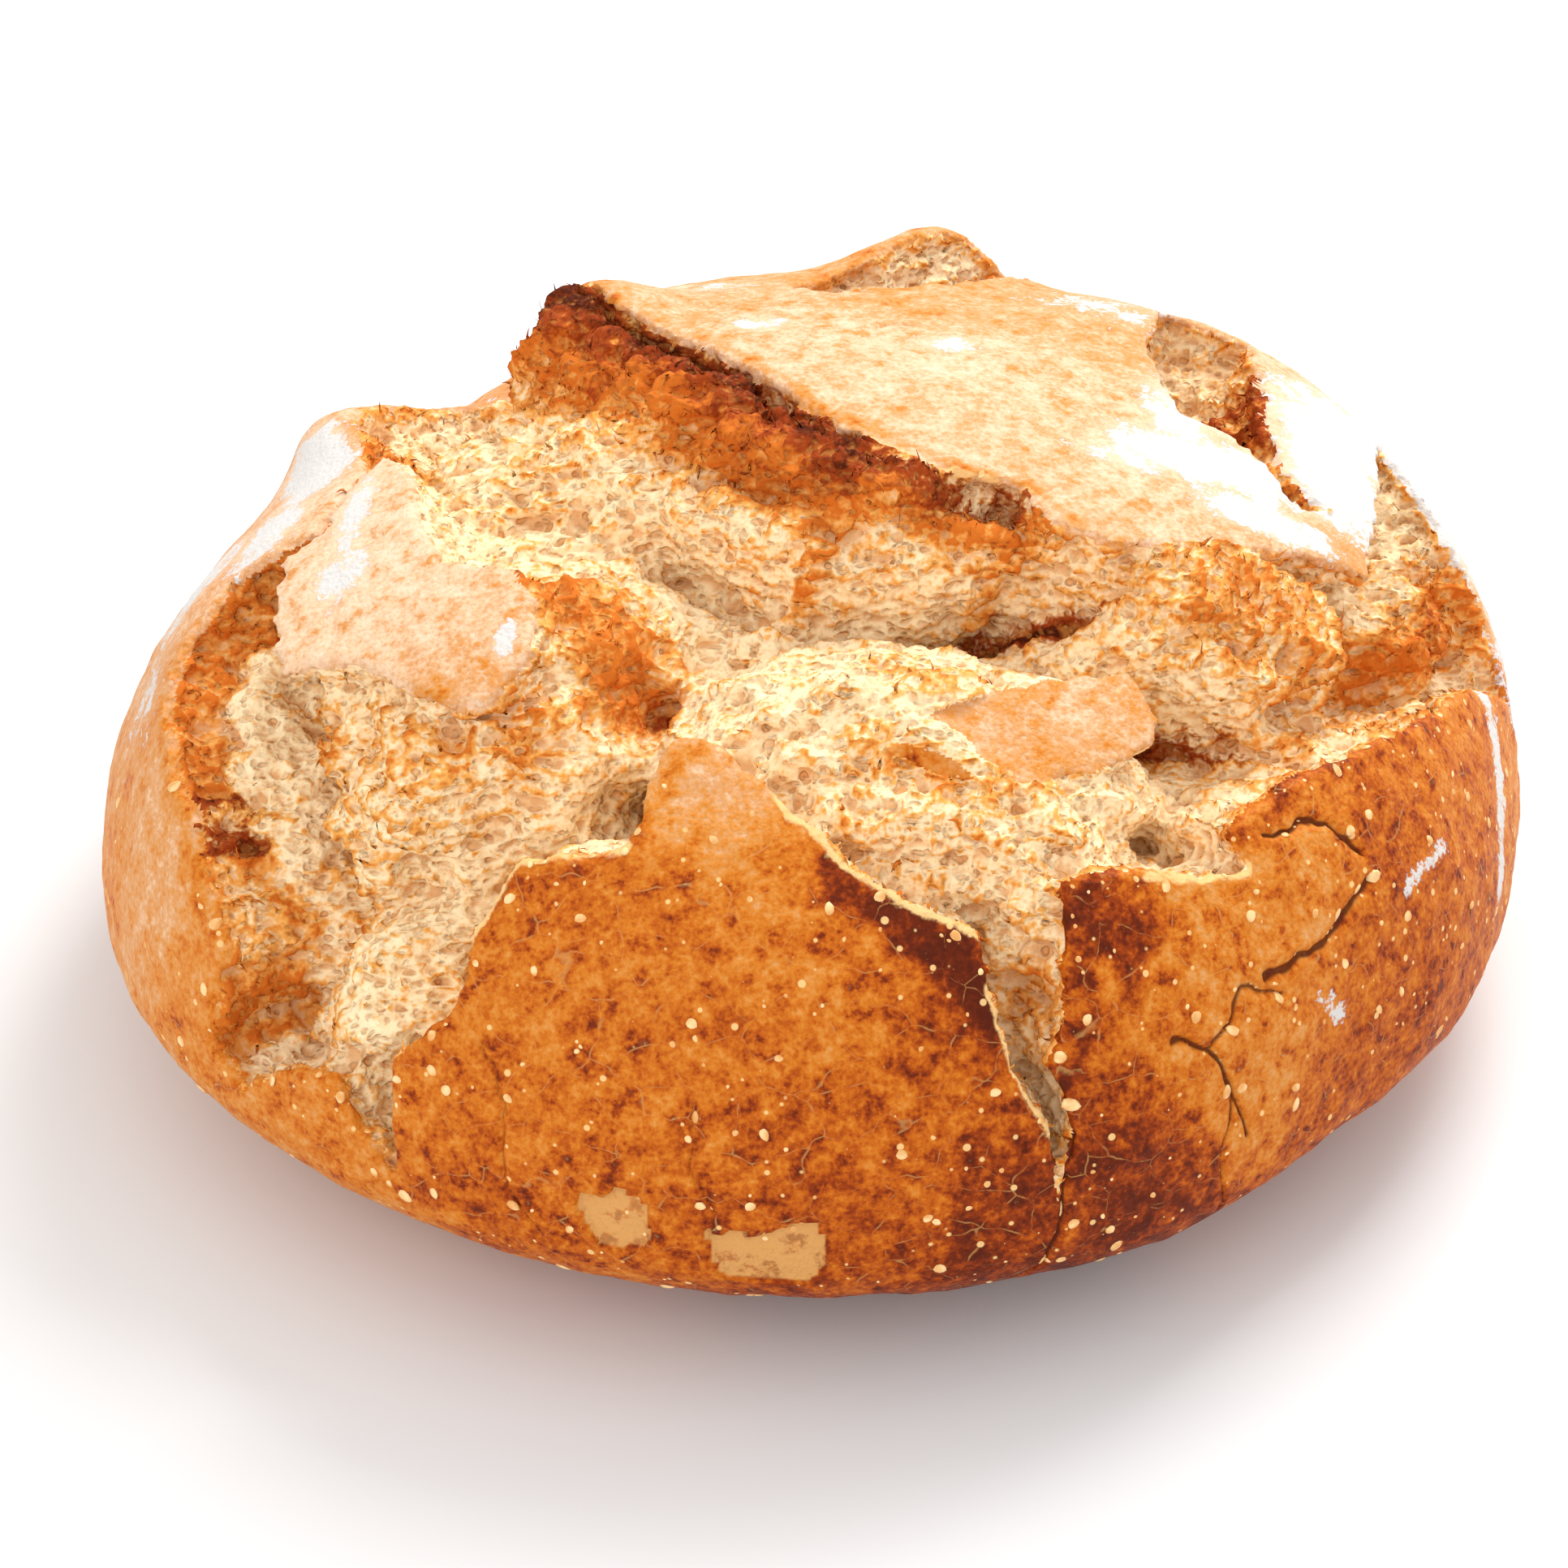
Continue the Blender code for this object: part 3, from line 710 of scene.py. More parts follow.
@dataclass(frozen=True)
class Baking:
    """Where the oven, the flour and the tearing left their marks, and where shade is painted into the
    crumb's deepest gaps, placed on the map.
    """

    tones: tuple[tuple[float, float, float], ...] = (
        (0, -125, 0.58), (-45, -118, 0.56), (25, -112, 0.80), (12, -104, 0.54), (0, -150, 0.68),
        (0, -185, 0.84), (40, -165, 0.86), (-60, -150, 0.64), (-22, -93, 0.28), (-30, -110, 0.58),
        (80, -112, 0.46), (70, -150, 0.92), (110, -80, 0.64), (85, -92, 0.46), (120, -120, 0.74),
        (140, -90, 0.72), (130, -45, 0.60), (150, -20, 0.5), (160, 30, 0.5),
        (-125, -60, 0.27), (-125, -95, 0.46), (-110, -130, 0.48), (-150, -40, 0.40), (-115, -5, 0.20),
        (-150, 10, 0.34), (-100, 28, 0.14), (-160, -100, 0.46), (-90, -165, 0.56),
        (30, 20, 0.08), (-5, 30, 0.12), (20, 50, 0.26), (85, 20, 0.06), (60, -10, 0.1),
        (20, -10, 0.16), (40, -20, 0.14), (-25, 55, 0.2), (48, 58, 0.28), (110, 50, 0.08),
        (125, 35, 0.10),
        (10, 80, 0.3), (0, 120, 0.38), (60, 130, 0.42), (-60, 120, 0.38), (-110, 60, 0.28),
        (-140, 80, 0.44), (125, 95, 0.36), (0, 165, 0.66), (120, 140, 0.66), (-120, 140, 0.66),
        (-80, -35, 0.02), (-62, -62, 0.12), (-90, 0, 0.04), (35, -76, 0.26), (55, -70, 0.20),
        (0, 210, 0.74), (0, -240, 0.74), (210, 0, 0.74), (-210, 0, 0.7),
    )
    tone_reach: float = 9.0
    flour: tuple[Bump | Stroke, ...] = (
        Bump(-11, 37, 9, 5, 0.9), Bump(27, 28, 9, 6, 0.85), Bump(76, -2, 20, 9, 1.5),
        Bump(98, 8, 12, 17, 1.3), Bump(70, 12, 8, 20, 1.0), Bump(84, -14, 14, 7, 1.3),
        Bump(60, -8, 12, 5, 1.0),
        Bump(108, 36, 24, 22, 1.5), Bump(96, 18, 9, 20, 1.4), Bump(118, 20, 12, 20, 1.3),
        Bump(128, 48, 20, 30, 1.2), Bump(-86, -10, 4, 16, 1.1), Bump(-86, -30, 6, 8, 1.05),
        Bump(-55, -60, 2.5, 5, 1.1), Bump(-100, 28, 9, 16, 1.5), Bump(-106, 6, 8, 16, 1.3),
        Bump(-122, 10, 14, 22, 1.0), Bump(-128, -20, 10, 20, 0.7),
        Stroke(((128, -12), (134, -20), (140, -32), (146, -46)), 3.6, 1.05), Bump(130, -16, 5, 4, 1.2),
        Stroke(((120, -60), (116, -67), (113, -74)), 2.0, 0.85), Bump(101, -101, 6, 3, 0.9),
        Bump(60, 60, 26, 20, 0.75), Bump(-20, 66, 12, 10, 0.7), Bump(40, 125, 40, 18, 0.6),
        Bump(-90, 90, 26, 24, 0.65), Bump(140, 20, 10, 30, 0.9),
    )
    scorch: tuple[Bump | Stroke, ...] = (
        Stroke(((3, -106), (14, -111), (24, -116), (29, -122)), 5.5, 0.95),
        Stroke(((-56, -100), (-42, -103), (-30, -97), (-22, -87)), 2.6, 0.55),
        Bump(52, -106, 11, 8, 1.4), Stroke(((45, -112), (50, -120), (44, -130)), 3.0, 0.5),
        Stroke(((66, -92), (78, -84), (86, -71), (96, -60)), 3.0, 0.75),
        Stroke(((-38, 44), (-22, 30), (-8, 12), (4, -6), (24, -20)), 1.8, 0.55),
        Stroke(((24, -20), (42, -25), (50, -34)), 1.6, 0.7),
        Bump(-44, 56, 5, 9, 0.8), Stroke(((-91, 38), (-93, 30), (-97, 16)), 2.4, 0.6),
        Stroke(((-119, -40), (-113, -62), (-112, -84)), 2.2, 0.5),
        Bump(-47, -56, 6, 5, 0.6), Bump(139, 6, 6, 8, 0.8),
        Stroke(((-67, -65), (-58, -69), (-53, -61)), 3.2, 0.4),
    )
    lips: tuple[Stroke, ...] = (
        Stroke(((-7, -95), (3, -104), (14, -109), (27, -112)), 2.2, 0.9),
        Stroke(((-61, -106), (-52, -97), (-33, -100)), 1.6, 0.9),
        Stroke(((30, -120), (35, -129), (43, -136)), 1.8, 0.9),
        Stroke(((58, -99), (68, -95), (77, -90)), 1.5, 0.9),
        Stroke(((10, -14), (24, -22), (41, -26)), 1.3, 0.6),
    )
    cracks: tuple[Stroke, ...] = (
        Stroke(((80, -84), (90, -76), (101, -75)), 0.55, 1.0),
        Stroke(((104, -78), (99, -87), (94, -95), (83, -104)), 0.7, 1.0),
        Stroke(((65, -119), (73, -118), (80, -122), (87, -127)), 0.6, 1.0),
        Stroke(((73, -118), (78, -108), (88, -104)), 0.5, 0.8),
        Stroke(((80, -122), (81, -132), (88, -139)), 0.5, 0.8),
        Stroke(((47, -136), (47, -141), (49, -148), (48, -157), (45, -163)), 0.7, 1.0),
        Stroke(((-20, -152), (-24, -144), (-22, -135)), 0.45, 0.6),
        Stroke(((-60, -120), (-58, -130), (-61, -140), (-57, -150)), 0.5, 0.6),
        Stroke(((12, 35), (17, 38), (20, 37)), 0.5, 0.8),
        Stroke(((70, 120), (60, 132), (44, 138)), 0.6, 0.8),
        Stroke(((-90, 100), (-78, 112), (-74, 126)), 0.6, 0.8),
        Stroke(((-150, 20), (-152, 36), (-146, 50)), 0.6, 0.8),
        Stroke(((140, 70), (148, 84), (142, 100)), 0.6, 0.8),
    )
    chips: tuple[Outline, ...] = (
        Outline(((-47, -146), (-44, -154), (-34, -155), (-33, -149), (-38, -146)), 3.0, 0.5),
        Outline(((-23, -154), (-20, -162), (-2, -164), (2, -157), (-1, -153), (-12, -155)), 3.0, 0.5),
    )
    toast: tuple[Bump | Stroke, ...] = (
        Stroke(((-55, 58), (-46, 37), (-32, 21), (-20, 2), (-7, -13), (6, -23)), 14.0, 1.35),
        Stroke(((6, -23), (24, -29), (42, -32)), 7.0, 0.9),
        Bump(80, -38, 21, 17, 0.75), Stroke(((85, -68), (95, -57), (121, -28)), 5.0, 0.42),
        Stroke(((129, 19), (126, -1), (123, -12)), 8.0, 0.85), Bump(-92, 26, 9, 16, 0.8),
        Stroke(((-91, 14), (-96, -8), (-109, -10), (-117, -24), (-119, -38), (-113, -62),
                (-112, -86), (-122, -96)), 2.6, 0.9),
        Stroke(((-53, -44), (-46, -52), (-41, -60), (-42, -70)), 8.0, 0.95),
        Stroke(((-78, -68), (-66, -74), (-56, -76)), 7.0, 0.55), Bump(-60, 8, 12, 16, 0.3),
        Stroke(((10, -86), (24, -92), (48, -86)), 5.0, 0.5),
        Stroke(((86, 44), (88, 20), (92, 0)), 4.0, 1.0),
        Stroke(((4, 60), (32, 70), (57, 92), (78, 122)), 9.0, 0.8), Bump(-54, 74, 12, 16, 0.8),
        Stroke(((-40, 100), (-32, 136)), 8.0, 0.8), Bump(44, -118, 8, 12, 0.5),
        Bump(-104, -108, 9, 6, 0.4),
        Stroke(((-5, -44), (5, -36), (12, -29), (21, -20), (29, -23)), 3.0, 0.6),
        Bump(68, 40, 5, 24, 0.5), Bump(24, -72, 22, 7, 0.3), Bump(-98, -92, 16, 8, 0.35),
        Bump(-74, -72, 34, 16, 0.42),
        Bump(20, -100, 36, 12, 0.2),
    )
    # Charred crumb along the torn wall and near the right tip, and painted shade: the stroke at (49,
    # -39) and the bumps at (86, -62), (-40, -72), (-45, -92) and (-84, -92) darken deep holes and
    # gullies of the crumb.
    char: tuple[Bump | Stroke, ...] = (
        Stroke(((-52, 56), (-42, 38), (-27, 23), (-14, 5), (-2, -11), (8, -20)), 9.5, 1.0),
        Stroke(((8, -20), (24, -26), (41, -28)), 4.0, 0.85), Stroke(((49, -39), (60, -42)), 2.8, 1.3),
        Bump(86, -62, 9, 3.5, 0.9), Bump(-40, -72, 4, 5, 0.7), Bump(-45, -92, 5, 5, 0.7),
        Stroke(((86, 44), (88, 20), (92, 0)), 3.0, 0.8), Stroke(((129, 12), (126, -1)), 4.0, 0.4),
        Stroke(((-113, -58), (-112, -68)), 1.6, 0.9), Bump(-84, -92, 3, 2.4, 0.5),
    )

    def tone(self, u: Array, v: Array) -> Array:
        """Bake of the crust from 0, pale, to 1, dark, blended between the named places."""
        weight = np.zeros_like(u)
        tone = np.zeros_like(u)
        for place_u, place_v, bake in self.tones:
            near = 1.0 / ((u - place_u) ** 2 + (v - place_v) ** 2 + self.tone_reach ** 2) ** 2
            weight += near
            tone += near * bake
        return tone / weight


@dataclass
class LoafSurface:
    """The loaf's surface in its finest form, with everything the finishes need to know of it."""

    body: LoafBody = field(default_factory=LoafBody)
    baking: Baking = field(default_factory=Baking)
    crust_depth: float = 1.7
    fine_reach: float = 3.0
    least_crumb: float = 0.02
    least_crack: float = 0.01
    map_reach: float = 168.0
    crumb_reach: float = 163.0
    leaf_length: float = 9.0
    leaf_height: float = 0.8
    toasted_leaf_height: float = 1.3
    fuzz_length: float = 2.2
    fuzz_height: float = 0.3
    thread_width: float = 1.9
    thread_length: float = 9.0
    undercut_depth: float = 0.9
    undercut_reach: float = 2.5
    deepest_pore: float = -3.2
    blister_length: float = 11.0
    blister_height: float = 0.45
    flattest_blister: float = -0.4
    ripple_length: float = 3.0
    ripple_height: float = 0.12
    crack_depth: float = 1.1
    crack_drift: float = 1.1
    crack_drift_length: float = 3.5
    chip_depth: float = 1.1
    wide_length: float = 12.0
    near_length: float = 4.0
    push_length: float = 2.6
    push: float = 0.9
    pores: tuple[Foam, ...] = (
        Foam(5.2, 2.0, 0.5, 0.45, 11.0), Foam(3.0, 1.3, 0.5, 0.75, 23.0), Foam(1.9, 0.8, 0.5, 0.9, 37.0),
    )
    fibres: tuple[Bump | Stroke, ...] = (
        Bump(82, -38, 26, 20, 1.5), Bump(-76, -62, 34, 14, 1.0), Bump(-104, -50, 10, 40, 1.2),
        Bump(20, -100, 40, 12, 0.9), Stroke(((-50, 50), (-30, 14), (0, -20), (40, -34)), 12.0, 0.7),
    )
    marks: dict[Mark, Array] = field(default_factory=dict, init=False)

    def build(self) -> None:
        """Lay the net, refine it where it is torn, press the relief in and mark every point."""
        mesh, lines = self.body.build()
        count = len(TEARS)
        self.rims = RimMap(lines[:count])
        self.rim_grid = self.rims.grid()
        self.shores = RimMap(lines[count:])
        self.shore_grid = self.shores.grid()
        surface = Surface(mesh)
        LOG.info("net of %d faces", len(mesh.polygons))
        u, v, height = self.body.skin.locate(surface.points)
        wanted = self._crumb_share(u, v, height) > self.least_crumb
        wanted |= np.abs(self.rims.sample(self.rim_grid, u, v)) < self.fine_reach
        wanted |= self._crack_depth(u, v) > self.least_crack
        wanted &= np.hypot(u, v) < self.map_reach
        self.surface = Surface(self._refined(mesh, wanted))
        LOG.info("refined net of %d faces", len(self.surface.mesh.polygons))
        self._locate()
        self._press()
        self._mark()

    def _refined(self, mesh: bpy.types.Mesh, wanted: Array) -> bpy.types.Mesh:
        """The mesh with every edge at a wanted point cut in two."""
        body = bmesh.new()
        body.from_mesh(mesh)
        flags = wanted.tolist()
        edges = [edge for edge in body.edges if any(flags[end.index] for end in edge.verts)]
        bmesh.ops.subdivide_edges(body, edges=edges, cuts=1, use_grid_fill=True)
        body.to_mesh(mesh)
        body.free()
        mesh.update()
        return mesh

    def _locate(self) -> None:
        """Map place, height, rim distance and crumb share of every point."""
        self.u, self.v, self.height = self.body.skin.locate(self.surface.points)
        self.rim = self.rims.sample(self.rim_grid, self.u, self.v)
        self.shore = self.shores.sample(self.shore_grid, self.u, self.v)
        self.bare = self._crumb_share(self.u, self.v, self.height)

    def _crumb_share(self, u: Array, v: Array, height: Array) -> Array:
        """How much each point is bare crumb, from 0 for crust to 1."""
        rim = self.rims.sample(self.rim_grid, u, v)
        shore = self.shores.sample(self.shore_grid, u, v)
        depth = self.crust_depth + 0.35 * np.sin(u * 0.9) * np.sin(v * 1.1)
        deep = smooth_step(-height, depth - 0.4, depth + 0.4)
        bare = np.maximum(smooth_step(rim, -0.2, 0.8), deep)
        for island in ISLANDS.values():
            near = np.hypot(u - island.middle[0], v - island.middle[1]) < island.reach
            over = height - island.top
            on_top = smooth_step(shore, -0.6, 0.2) * smooth_step(over, -depth - 0.3, -depth + 0.5)
            on_top *= 1.0 - smooth_step(over, 0.5, 1.3)
            bare = np.where(near, bare * (1.0 - on_top), bare)
        return np.where(np.hypot(u, v) < self.crumb_reach, bare, 0.0)

    def _crack_depth(self, u: Array, v: Array) -> Array:
        """Strength of the fine cracks at map points."""
        flat = np.column_stack([u, v, np.zeros_like(u)])
        near = strongest(tuple(Stroke(crack.line, 5.0) for crack in self.baking.cracks), u, v) > 0.3
        depth = np.zeros_like(u)
        drift = self.crack_drift * Noise.warp(flat[near], self.crack_drift_length, Patch.CRACK)
        depth[near] = strongest(self.baking.cracks, u[near] + drift[:, 0], v[near] + drift[:, 1])
        return depth

    def _press(self) -> None:
        """Press pores, tears and crags into the crumb, and blisters and cracks into the crust."""
        surface = self.surface
        torn = self.bare > 0.01
        points, normals = surface.points, surface.normals
        self.crack = self._crack_depth(self.u, self.v) * (1.0 - self.bare)
        self.chip = self._chipped()
        calm = surface.smoothed(normals, 6)
        calm /= np.maximum(np.linalg.norm(calm, axis=1, keepdims=True), 1e-6)
        moved = points + calm * (self._torn_relief(torn) * self.bare)[:, None]
        under = smooth_step(-self.height, 1.5, 4.0) * smooth_step(-self.height, 16.0, 6.0)
        undercut = under * np.exp(-(self.rim / self.undercut_reach) ** 2) * self.bare
        moved -= calm * (self.undercut_depth * undercut)[:, None]
        sunk = np.zeros_like(self.u)
        for pore in self.pores:
            sunk[torn] += pore.height(points[torn])
        moved += calm * (np.maximum(sunk, self.deepest_pore) * self.bare)[:, None]
        baked = ~torn | (self.bare < 0.9)
        cover = points[baked]
        rise = np.zeros_like(self.u)
        rise[baked] = self.blister_height * np.maximum(
            Noise.fractal(cover, self.blister_length, 3, Patch.BLISTER), self.flattest_blister)
        rise[baked] += self.ripple_height * Noise.fractal(
            cover, self.ripple_length, 2, Patch.RIPPLE)
        rise -= self.crack_depth * self.crack + self.chip_depth * self.chip
        foot = smooth_step(points[:, 2], 0.5, 6.0)
        moved += normals * (rise * (1.0 - self.bare) * foot)[:, None]
        surface.move(moved)

    def _chipped(self) -> Array:
        """Which points lie in a chip of the crust, as 1 or 0."""
        chipped = np.zeros_like(self.u)
        low = self.v < -140
        for chip in self.baking.chips:
            held = Outline.holds(chip.points(), self.u[low], self.v[low])
            chipped[low] = np.maximum(chipped[low], held)
        return chipped

    def _torn_relief(self, torn: Array) -> Array:
        """Leaves, fuzz and threads of the torn crumb, as a height over every point."""
        crumb = (self.surface.points * np.array([0.8, 1.0, 1.45]))[torn]
        leaf = 1.0 - 2.0 * np.abs(Noise.fractal(crumb, self.leaf_length, 3, Patch.LEAF))
        rough = strongest(self.baking.toast, self.u[torn], self.v[torn])
        streaky = strongest(self.fibres, self.u[torn], self.v[torn])
        threads = np.column_stack([self.u[torn] / self.thread_width,
                                   self.v[torn] / self.thread_length,
                                   self.height[torn] / self.thread_length])
        lift = np.zeros_like(self.u)
        lift[torn] = ((self.leaf_height + self.toasted_leaf_height * rough) * leaf
                      + self.fuzz_height * Noise.fractal(crumb, self.fuzz_length, 2, Patch.FUZZ))
        lift[torn] += streaky * Noise.fractal(threads, 1.0, 3, Patch.THREAD)
        return lift

    def _mark(self) -> None:
        """Work out every mark the finishes read."""
        surface, baking = self.surface, self.baking
        fine = surface.standing_out(5)
        broad = surface.standing_out(40)
        u, v = self.u, self.v
        wide = Noise.fractal(surface.points, self.wide_length, 3, Patch.WIDE)
        near = Noise.fractal(surface.points, self.near_length, 3, Patch.NEAR)
        edge = np.exp(-((self.height + 2.0) / 2.2) ** 2) * np.exp(-(self.rim / 2.0) ** 2)
        toast = np.maximum(strongest(baking.toast, u, v), 0.5 * edge)
        scorch = strongest(baking.scorch, u, v)
        heat = toast + 0.9 * fine + 0.12 * broad + 0.2 * wide + 0.3 * near + 0.02
        # Charring plus painted shade in the deepest gaps of the crumb.
        char = strongest(baking.char, u, v) + 0.3 * wide + 0.3 * near + 0.3 * fine
        stretched = surface.points * np.array([0.8, 1.0, 1.15])
        self.pushed = stretched + self.push * Noise.warp(
            surface.points, self.push_length, Patch.PUSH)
        self.marks = {
            Mark.BAKE: (baking.tone(u, v) + 0.08 * wide + 0.05 * near
                        + 0.34 * smooth_step(scorch + 0.35 * near, 0.15, 1.1)),
            Mark.FLOUR: strongest(baking.flour, u, v) + 0.3 * near + 0.15 * wide,
            Mark.LIP: strongest(baking.lips, u, v) * np.exp(-((self.rim + 0.2) / 1.4) ** 2),
            Mark.CRACK: self.crack,
            Mark.CHIP: self.chip,
            Mark.HEAT: heat,
            Mark.CHAR_AND_GAP_SHADE: char * smooth_step(toast + strongest(baking.char, u, v), 0.1, 0.7),
            # Painted shade: fine and broad hollowness, for darker, warmer crumb colour in recesses.
            Mark.HOLLOW_SHADE: np.maximum(-1.6 * fine, 0.0) + np.maximum(-0.4 * broad, 0.0),
        }

    def piece(self, name: str, wanted: Array) -> bpy.types.Object:
        """A piece of the surface: the polygons wanted, with the whole surface's normals."""
        _, sizes, corners = self._loops()
        kept_loops = np.repeat(wanted, sizes)
        used = np.unique(corners[kept_loops])
        place = np.full(len(self.surface.points), -1, dtype=np.int32)
        place[used] = np.arange(len(used))
        part = bpy.data.meshes.new(name)
        part.vertices.add(len(used))
        part.vertices.foreach_set("co", (self.surface.points[used] * MM).astype(np.float32).ravel())
        part.loops.add(int(kept_loops.sum()))
        part.loops.foreach_set("vertex_index", place[corners[kept_loops]])
        part.polygons.add(int(wanted.sum()))
        kept_sizes = sizes[wanted]
        first = np.concatenate([[0], np.cumsum(kept_sizes)[:-1]]).astype(np.int32)
        part.polygons.foreach_set("loop_start", first)
        part.update(calc_edges=True)
        part.shade_smooth()
        for mark, values in self.marks.items():
            store(part, mark.value, values[used])
        store(part, PUSHED, self.pushed[used] * MM)
        part.normals_split_custom_set_from_vertices(self.surface.normals[used].tolist())
        LOG.info("%s: %d polygons, %d triangles", name, len(kept_sizes), int((kept_sizes - 2).sum()))
        return stand(name, part)

    def polygon_means(self, values: Array) -> Array:
        """The mean of a point value over every polygon."""
        starts, sizes, corners = self._loops()
        return np.add.reduceat(values[corners], starts) / sizes

    def _loops(self) -> tuple[Array, Array, Array]:
        """Every polygon's first corner and number of corners, and every corner's point."""
        mesh = self.surface.mesh
        return (Surface.read(mesh.polygons, "loop_start", 1, np.int32),
                Surface.read(mesh.polygons, "loop_total", 1, np.int32),
                Surface.read(mesh.loops, "vertex_index", 1, np.int32))


def linear(red: int, green: int, blue: int) -> Colour:
    """A colour given in 0 to 255 screen values as linear light."""
    return tuple((value / 255.0 / 12.92) if value <= 10 else ((value / 255.0 + 0.055) / 1.055) ** 2.4
                 for value in (red, green, blue))


class Value:
    """A number in a shader graph, which takes part in plain arithmetic."""

    def __init__(self, graph: "Graph", socket: bpy.types.NodeSocket) -> None:
        """Wrap an output socket of a graph."""
        self.graph = graph
        self.socket = socket

    def _math(self, operation: str, *terms: "Value | float") -> "Value":
        """The result of a Math node on some terms."""
        node = self.graph.node("ShaderNodeMath", {"operation": operation}, dict(enumerate(terms)))
        return Value(self.graph, node.outputs[0])

    def __add__(self, other: "Value | float") -> "Value":
        """This plus another."""
        return self._math("ADD", self, other)

    def __radd__(self, other: float) -> "Value":
        """A number plus this."""
        return self._math("ADD", other, self)

    def __sub__(self, other: "Value | float") -> "Value":
        """This minus another."""
        return self._math("SUBTRACT", self, other)

    def __rsub__(self, other: float) -> "Value":
        """A number minus this."""
        return self._math("SUBTRACT", other, self)

    def __mul__(self, other: "Value | float") -> "Value":
        """This times another."""
        return self._math("MULTIPLY", self, other)

    def __rmul__(self, other: float) -> "Value":
        """A number times this."""
        return self._math("MULTIPLY", other, self)

    def __truediv__(self, other: "Value | float") -> "Value":
        """This divided by another."""
        return self._math("DIVIDE", self, other)

    def __rtruediv__(self, other: float) -> "Value":
        """A number divided by this."""
        return self._math("DIVIDE", other, self)

    def __abs__(self) -> "Value":
        """This without its sign."""
        return self._math("ABSOLUTE", self)

    def larger(self, other: "Value | float") -> "Value":
        """The larger of this and another."""
        return self._math("MAXIMUM", self, other)

    def step(self, start: float, end: float, low: float = 0.0, high: float = 1.0) -> "Value":
        """This mapped from start..end to low..high with soft ends."""
        node = self.graph.node("ShaderNodeMapRange", {"interpolation_type": "SMOOTHSTEP"}, {
            "Value": self, "From Min": start, "From Max": end, "To Min": low, "To Max": high})
        return Value(self.graph, node.outputs["Result"])


class Graph:
    """The shader graph of one material."""

    def __init__(self, name: str) -> None:
        """Start a material with a Principled shader."""
        self.material = bpy.data.materials.new(name)
        self.material.use_nodes = True
        self.tree = self.material.node_tree
        self.shader = self.tree.nodes["Principled BSDF"]
        self.place = self.node("ShaderNodeTexCoord").outputs["Object"]

    def node(self, kind: str, settings: dict | None = None, inputs: dict | None = None
             ) -> bpy.types.Node:
        """A node of a kind: settings first, then socket values or links.

        Args:
            kind: The node's type.
            settings: Its properties.
            inputs: Values, sockets or Values by the name or number of its inputs.

        Returns:
            The node.
        """
        node = self.tree.nodes.new(kind)
        for name, value in (settings or {}).items():
            setattr(node, name, value)
        for name, value in (inputs or {}).items():
            self.feed(node.inputs[name], value)
        return node

    def feed(self, socket: bpy.types.NodeSocket, value: object) -> None:
        """Link a socket to a Value or another socket, or set it to a constant."""
        if isinstance(value, Value):
            self.tree.links.new(value.socket, socket)
        elif isinstance(value, bpy.types.NodeSocket):
            self.tree.links.new(value, socket)
        elif isinstance(value, tuple) and len(value) == 3 and socket.type == "RGBA":
            socket.default_value = (*value, 1.0)
        else:
            socket.default_value = value

    def mark(self, mark: Mark) -> Value:
        """One of the marks of the surface."""
        node = self.node("ShaderNodeAttribute", {"attribute_name": mark.value})
        return Value(self, node.outputs["Fac"])

    def mark_place(self) -> bpy.types.NodeSocket:
        """The place on the loaf as pushed about by the tearing."""
        return self.node("ShaderNodeAttribute", {"attribute_name": PUSHED}).outputs["Vector"]

    def waves(self, length: float, detail: float, roughness: float) -> Value:
        """Smooth noise from 0 to 1 with features of a length in millimetres."""
        node = self.node("ShaderNodeTexNoise", {}, {
            "Vector": self.place, "Scale": 1.0 / (length * MM), "Detail": detail,
            "Roughness": roughness})
        return Value(self, node.outputs["Fac"])

    def cells(self, length: float, feature: str = "F1", place: bpy.types.NodeSocket | None = None
              ) -> dict[str, Value]:
        """Outputs of a cell pattern of a size in millimetres, by name."""
        node = self.node("ShaderNodeTexVoronoi", {"feature": feature}, {
            "Vector": place or self.place, "Scale": 1.0 / (length * MM)})
        return {socket.name: Value(self, socket) for socket in node.outputs}

    def channel(self, colour: Value) -> Value:
        """The first channel of a colour."""
        node = self.node("ShaderNodeSeparateColor", {}, {"Color": colour})
        return Value(self, node.outputs[0])

    def mix(self, share: Value | float, first: object, second: object) -> bpy.types.NodeSocket:
        """A colour between two, second where the share is 1."""
        node = self.node("ShaderNodeMix", {"data_type": "RGBA"}, {"Factor": share})
        self.feed(node.inputs[6], first)
        self.feed(node.inputs[7], second)
        return node.outputs[2]

    def ramp(self, share: Value, stops: tuple[tuple[float, Colour], ...]) -> bpy.types.NodeSocket:
        """A colour that runs through several stops as the share grows."""
        colour: object = stops[0][1]
        for (start, _), (end, after) in zip(stops[:-1], stops[1:]):
            node = self.node("ShaderNodeMapRange", {}, {
                "Value": share, "From Min": start, "From Max": end})
            colour = self.mix(Value(self, node.outputs["Result"]), colour, after)
        return colour

    def bump(self, height: Value, depth: float) -> bpy.types.NodeSocket:
        """A normal pushed about by a height of a depth in millimetres."""
        node = self.node("ShaderNodeBump", {}, {
            "Height": height, "Distance": depth * MM, "Strength": 1.0})
        return node.outputs["Normal"]


